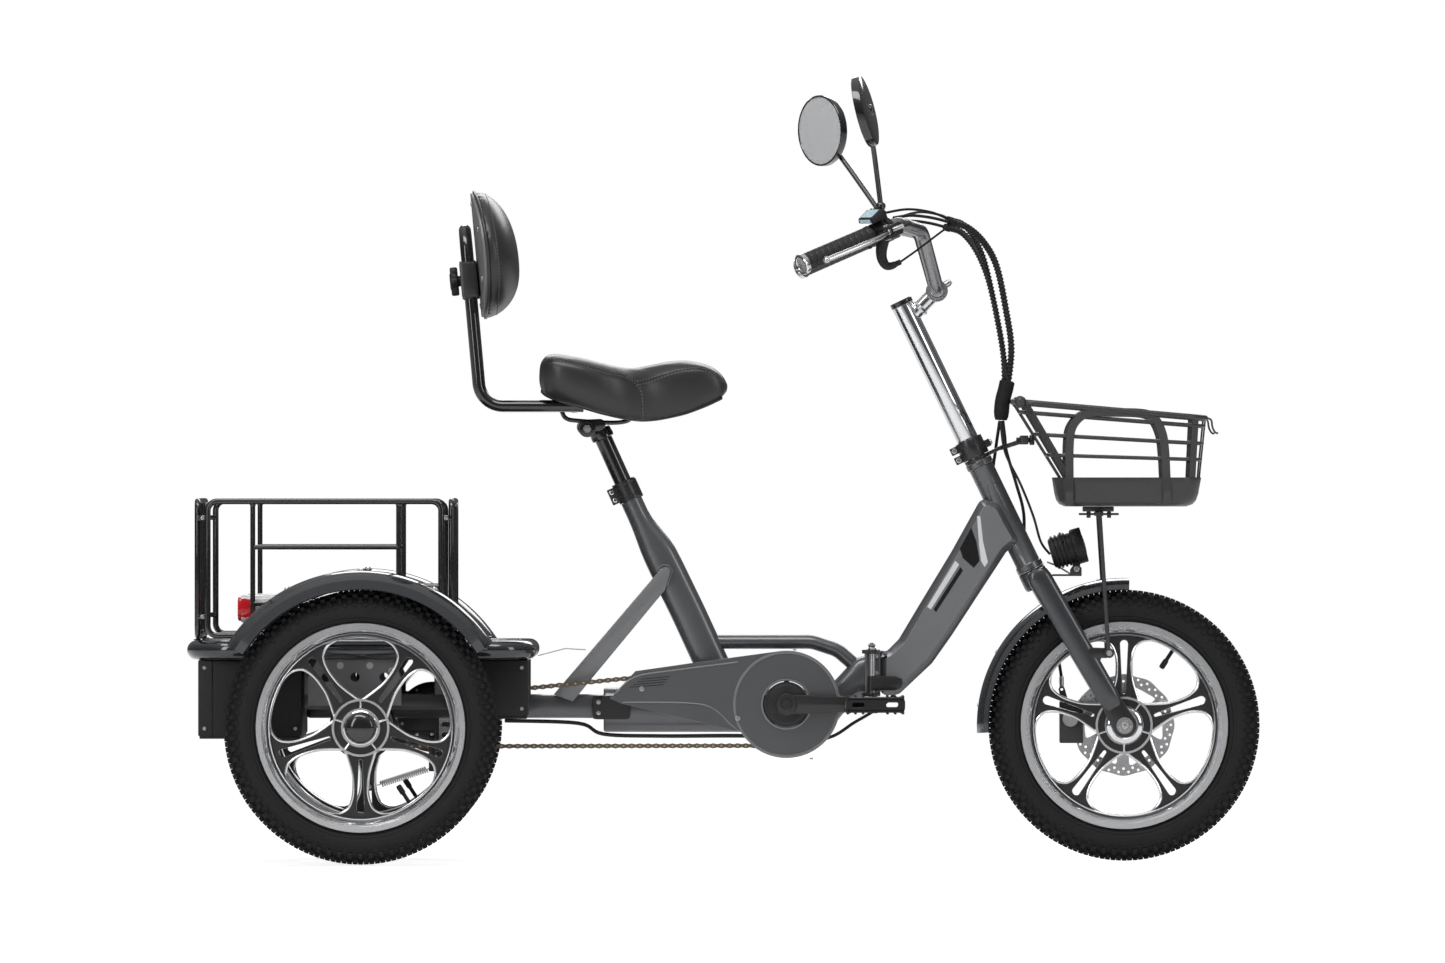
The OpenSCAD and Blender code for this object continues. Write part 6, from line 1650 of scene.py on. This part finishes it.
def stuffed(source, name, voxel, cap, fixed):
    """A vinyl cover pressed out over its foam. fixed(point in mm) tells where it is stapled down."""
    scene = bpy.context.scene
    remesh = source.modifiers.new("even", "REMESH")
    remesh.mode, remesh.voxel_size = "VOXEL", voxel * MM
    graph = bpy.context.evaluated_depsgraph_get()
    mesh = bpy.data.meshes.new_from_object(source.evaluated_get(graph))
    mesh.name = name
    bpy.data.objects.remove(source)
    obj = bpy.data.objects.new(name, mesh)
    scene.collection.objects.link(obj)
    for face in mesh.polygons:
        face.use_smooth = True
    smooth = obj.modifiers.new("ease", "SMOOTH")
    smooth.factor, smooth.iterations = 0.5, 4
    settle(obj, "ease")
    start = [v.co.copy() for v in obj.data.vertices]
    pins = obj.vertex_groups.new(name="stapled")
    pins.add([i for i, p in enumerate(start) if fixed(p / MM)], 1.0, "REPLACE")
    cloth = obj.modifiers.new("cover", "CLOTH")
    cloth.settings.quality = 5
    cloth.settings.mass = 0.4
    cloth.settings.tension_stiffness = cloth.settings.compression_stiffness = 30
    cloth.settings.shear_stiffness, cloth.settings.bending_stiffness = 15, 4
    cloth.settings.use_pressure, cloth.settings.uniform_pressure_force = True, 4
    cloth.settings.effector_weights.gravity = 0
    cloth.settings.vertex_group_mass = "stapled"
    cloth.point_cache.frame_start, cloth.point_cache.frame_end = 1, 20
    for step in range(1, 21):
        scene.frame_set(step)
    graph = bpy.context.evaluated_depsgraph_get()
    pressed = [v.co.copy() for v in obj.evaluated_get(graph).data.vertices]
    obj.modifiers.remove(cloth)
    scene.frame_set(1)
    for v, a, b in zip(obj.data.vertices, start, pressed):
        moved = b - a
        v.co = a + moved * min(1.0, cap * MM / max(moved.length, 1e-9))
    ease = obj.modifiers.new("ease", "SMOOTH")
    ease.factor, ease.iterations = 0.5, 8
    settle(obj, "ease")
    obj.data.materials.clear()
    obj.data.materials.append(VINYL)
    return obj


def settle(obj, name):
    """The shape with its modifier applied."""
    graph = bpy.context.evaluated_depsgraph_get()
    mesh = bpy.data.meshes.new_from_object(obj.evaluated_get(graph))
    obj.modifiers.remove(obj.modifiers[name])
    old = obj.data
    obj.data = mesh
    bpy.data.meshes.remove(old)


def loose(part, name):
    """The gathered shape as a plain mesh, not yet riding any body."""
    bmesh.ops.recalc_face_normals(part.bm, faces=part.bm.faces)
    mesh = bpy.data.meshes.new(name)
    part.bm.to_mesh(mesh)
    part.bm.free()
    obj = bpy.data.objects.new(name, mesh)
    bpy.context.scene.collection.objects.link(obj)
    return obj


def skin_of(obj):
    graph = bpy.context.evaluated_depsgraph_get()
    return BVHTree.FromObject(obj, graph)


def laid_on(skin, points, lift=0.0):
    """Points in mm moved to the nearest place on a skin, then lifted."""
    found = []
    for p in points:
        spot, normal = skin.find_nearest(Vector(p) * MM)[:2]
        found.append((spot / MM + normal * lift, normal))
    return found


def stitches(part, skin, line, length=3.4, gap=2.2, radius=0.55):
    line = resample(smooth_path(line, 8), length + gap)
    spots = laid_on(skin, line, 0.25)
    for (a, _), (b, _) in zip(spots, spots[1:]):
        d = (b - a).normalized()
        part.tube([a, a + d * 0.5, a + d * (length - 0.5), a + d * length],
                  [radius * 0.4, radius, radius, radius * 0.4], 6)


def seam(part, skin, line, radius=0.9):
    line = resample(smooth_path(line, 8), 3.0)
    part.tube([p for p, _ in laid_on(skin, line, -0.25)], radius, 8)


shape = Part()
shape.loft([saddle_ring(*row) for row in between(STATIONS, 4)])
cover = stuffed(loose(shape, "saddle_shape"), "saddle_cover", 5.0, 2.5,
                lambda p: p.z < 690 + max(0, -p.x - 150) * 0.24)
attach(cover, "seat")
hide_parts("saddle")
saddle_skin = skin_of(cover)

sewn = Part()
for side in (-1, 1):
    rim = [(-286, side * 84, 786), (-250, side * 106, 785), (-216, side * 105, 776), (-180, side * 97, 767),
           (-151, side * 82, 760), (-137, side * 75, 749), (-130, side * 72, 735), (-128, side * 71, 718),
           (-127, side * 68, 700), (-127, side * 62, 691)]
    nose = [(-137, side * 74, 749), (-120, side * 62, 753), (-90, side * 49, 764), (-60, side * 41, 771),
            (-30, side * 35, 771), (-8, side * 28, 759), (5, side * 14, 744)]
    for line, shift in ((rim, 4.2), (nose, 4.2)):
        sewn.use(0)
        seam(sewn, saddle_skin, line)
        sewn.use(1)
        stitches(sewn, saddle_skin, [(x, y * 0.965, z + shift * 0.6) for x, y, z in line])
        stitches(sewn, saddle_skin, [(x + (1.5 if z < 745 else 0), y, z - shift) for x, y, z in line])
sewn.done("saddle_seams", "seat", [VINYL, THREAD])

pan = Part()
pan_rows = []
for x, w, edge, ridge, middle, foot in between(STATIONS, 2)[3:-4]:
    pan_rows.append([(x, w * u, foot + h) for u, h in ((-0.8, 3), (-0.78, -0.6), (-0.6, -1.4), (0, -1.0),
                                                       (0.6, -1.4), (0.78, -0.6), (0.8, 3), (0, 4))])
pan.loft(pan_rows)
pan.done("saddle_pan", "seat", PLASTIC)

back_foot = Vector((-388.7, 0, 784))


def back_at(z):
    return back_foot.x - (z - back_foot.z) * math.tan(math.radians(5.2))


hoop = Part()
hoop.use(0).tube(rounded_path([(-222, -60, 712), (back_at(712), -60, 712), (back_at(987), -60, 987),
                               (back_at(987), 60, 987), (back_at(712), 60, 712), (-222, 60, 712)], 38, False, 12),
                 9.3, 28)
hoop.box(-247, -226, -60, 60, 705, 712, 1.5)
for y in (-40, 40):
    hoop.use(1).bolt((-236, y, 705), -AZ, 5, 3.2)
hoop.done("backrest_hoop", "seat", [GLOSS_BLACK, STEEL], "backrest_tube", "black_paint")

BACK = Matrix.Translation((back_at(909), 0, 909)) @ Matrix.Rotation(math.radians(-5.2), 4, "Y")


def pad_outline(a, tall, wide, x=0.0, z=38.0):
    y = wide * math.copysign(abs(math.sin(a)) ** 0.8, math.sin(a))
    return Vector((x + 14 * (y / 148) ** 2, y, z + tall * math.cos(a)))


def pad_ring(x, tall, wide, z=38.0, n=72):
    return [pad_outline(2 * math.pi * k / n, tall, wide, x, z) for k in range(n)]


board = Part(BACK)
# The board is in the plate grey rather than black, standing for its lit face: painted highlight.
board.use(0).loft([pad_ring(13.4, 94, 145), pad_ring(13.4, 96.4, 147.4), pad_ring(14.6, 97.4, 148.4),
                   pad_ring(17.4, 97.4, 148.4)], caps=False)
board.loft([pad_ring(13.4, 94 * s, 145 * s) for s in (1.0, 0.75, 0.5, 0.25, 0.02)], caps=True)
for a in (12, 62, 118, 168, 192, 242, 298, 348):
    spot = pad_outline(math.radians(a), 82, 128, 13.6)
    board.use(1).bolt(spot, -AX, 4.2, 1.8)
board.use(2).box(-13, 13.8, -78, 78, -28, 28, 3.5)
for y in (-60, 60):
    for z in (-28, 28):
        board.lathe([(9.6, -1.6), (12.4, -1.6), (12.8, 0), (12.4, 1.6), (9.6, 1.6)], (0, y, z), AZ, 32, True)
board.done("backrest_board", "backrest", [PLATE_GREY_AND_BOARD_HIGHLIGHT, STEEL, SATIN_BLACK], "backrest_shell", "black_plastic")

puff = Part(BACK)
pad_rings = [pad_ring(18.4, 97, 148)]
for k in range(13):
    t = math.radians(88 * k / 12)
    shrink = math.cos(t) ** 0.85
    pad_rings.append(pad_ring(19.3 + 60.5 * math.sin(t) ** 1.1, 99 * shrink + 1, 149 * shrink + 1,
                              38 - 17 * (1 - shrink)))
puff.loft(pad_rings)
cushion = stuffed(loose(puff, "pad_shape"), "backrest_cushion", 5.0, 1.2,
                  lambda p: p.x < back_at(p.z) + 30 + 14 * (p.y / 148) ** 2)
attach(cushion, "backrest")
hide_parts("backrest_pad")
pad_skin = skin_of(cushion)

piping = Part(BACK)
piping.use(0).tube(pad_ring(19.6, 98.6, 149.4, n=120), 2.6, 12, True)
piping.done("backrest_piping", "backrest", [VINYL, THREAD])
sewing = Part()
loop_line = [BACK @ pad_outline(2 * math.pi * k / 90, 92, 142, 36) for k in range(91)]
stitches(sewing, pad_skin, loop_line)
sewing.done("backrest_stitches", "backrest", THREAD)

twist_knob = Part(BACK)
star = []
for k in range(72):
    a = 2 * math.pi * k / 72
    r = 22.4 + 2.6 * math.cos(6 * a)
    star.append((r, a))
twist_knob.use(0).loft([[(x, (r - d) * math.cos(a), (r - d) * math.sin(a)) for r, a in star]
                        for x, d in ((-17.6, 2), (-18.6, 0.6), (-20, 0), (-27, 0), (-28.6, 0.8), (-29.4, 2.4))])
twist_knob.soft_rod((-13.3, 0, 0), (-19, 0, 0), 8.4, 0.6, 32)
twist_knob.lathe([(12, 0), (13, 0.8), (11, 1.4), (0, 1.6)], (-29.2, 0, 0), -AX, 36)
twist_knob.done("backrest_knob", "knob", PLASTIC, "knob", "black_plastic")


# ---------- light, floor and camera ----------

scene = bpy.context.scene
scene.view_settings.view_transform = "Standard"
scene.view_settings.look = "None"
scene.view_settings.exposure = 0.0

world = bpy.data.worlds.new("Studio")
scene.world = world
world.use_nodes = True
sky = world.node_tree
sky.nodes.clear()
way = node(sky, "ShaderNodeTexCoord").outputs["Generated"]
parts = node(sky, "ShaderNodeSeparateXYZ")
sky.links.new(way, parts.inputs[0])
height_ramp = node(sky, "ShaderNodeValToRGB")
height_ramp.color_ramp.elements[0].position, height_ramp.color_ramp.elements[0].color = 0.0, (0.55, 0.55, 0.56, 1)
height_ramp.color_ramp.elements[1].position, height_ramp.color_ramp.elements[1].color = 1.0, (1.25, 1.25, 1.26, 1)
low = height_ramp.color_ramp.elements.new(0.5)
low.color = (0.12, 0.12, 0.125, 1)
mid = height_ramp.color_ramp.elements.new(0.72)
mid.color = (0.35, 0.35, 0.36, 1)
lifted = arithmetic(sky, "MULTIPLY_ADD", parts.outputs["Z"], 0.5, 0.5)
sky.links.new(lifted, height_ramp.inputs["Fac"])
glow = node(sky, "ShaderNodeBackground")
sky.links.new(height_ramp.outputs["Color"], glow.inputs["Color"])
glow.inputs["Strength"].default_value = 0.5
paper = node(sky, "ShaderNodeBackground")
paper.inputs["Color"].default_value = (1, 1, 1, 1)
paper.inputs["Strength"].default_value = 1.0
chooser = node(sky, "ShaderNodeMixShader")
ray = node(sky, "ShaderNodeLightPath")
sky.links.new(ray.outputs["Is Camera Ray"], chooser.inputs[0])
sky.links.new(glow.outputs[0], chooser.inputs[1])
sky.links.new(paper.outputs[0], chooser.inputs[2])
out = node(sky, "ShaderNodeOutputWorld")
sky.links.new(chooser.outputs[0], out.inputs["Surface"])


def softbox(name, place, look_at, size, power):
    data = bpy.data.lights.new(name, "AREA")
    data.shape, data.size, data.size_y = "RECTANGLE", size[0], size[1]
    data.energy = power
    lamp_obj = bpy.data.objects.new(name, data)
    lamp_obj.location = place
    lamp_obj.rotation_euler = (Vector(look_at) - Vector(place)).to_track_quat("-Z", "Y").to_euler()
    scene.collection.objects.link(lamp_obj)
    return lamp_obj


softbox("Key_Above", (-0.6, -1.6, 3.4), (0, 0, 0.4), (3.2, 1.2), 62)
softbox("Side_Strip", (-2.2, -3.2, 1.7), (0, 0, 0.5), (0.7, 2.4), 26)
softbox("Front_Fill", (3.0, -2.4, 1.6), (0.2, 0, 0.5), (0.9, 2.0), 18)
softbox("Back_Rim", (0.4, 3.2, 2.4), (0, 0, 0.5), (3.0, 1.2), 40)

floor_mesh = bpy.data.meshes.new("floor")
floor_mesh.from_pydata([(-14, -14, -0.0015), (14, -14, -0.0015), (14, 14, -0.0015), (-14, 14, -0.0015)], [],
                       [(0, 1, 2, 3)])
floor = bpy.data.objects.new("studio_floor", floor_mesh)
scene.collection.objects.link(floor)
floor_paint = finish("Pale_Floor", MOULDED, (0.86, 0.86, 0.86), 0.7, 0.0, 0.02, 2.0, 0.03, 0.0)
floor_shader = floor_paint.node_tree.nodes["Principled BSDF"]
floor_shader.inputs["Emission Color"].default_value = (1, 1, 1, 1)
floor_ray = node(floor_paint.node_tree, "ShaderNodeLightPath")
floor_glow = arithmetic(floor_paint.node_tree, "MULTIPLY_ADD", floor_ray.outputs["Is Camera Ray"], 0.68, 0.1)
floor_paint.node_tree.links.new(floor_glow, floor_shader.inputs["Emission Strength"])
floor_mesh.materials.append(floor_paint)

camera = bpy.data.cameras.new("Camera")
camera.lens, camera.sensor_width = 477.5, 36
camera.clip_end = 200
camera_obj = bpy.data.objects.new("Camera", camera)
camera_obj.location = (-0.004, -30, 0.594)
camera_obj.rotation_euler = (math.radians(90), 0, 0)
scene.collection.objects.link(camera_obj)
scene.camera = camera_obj
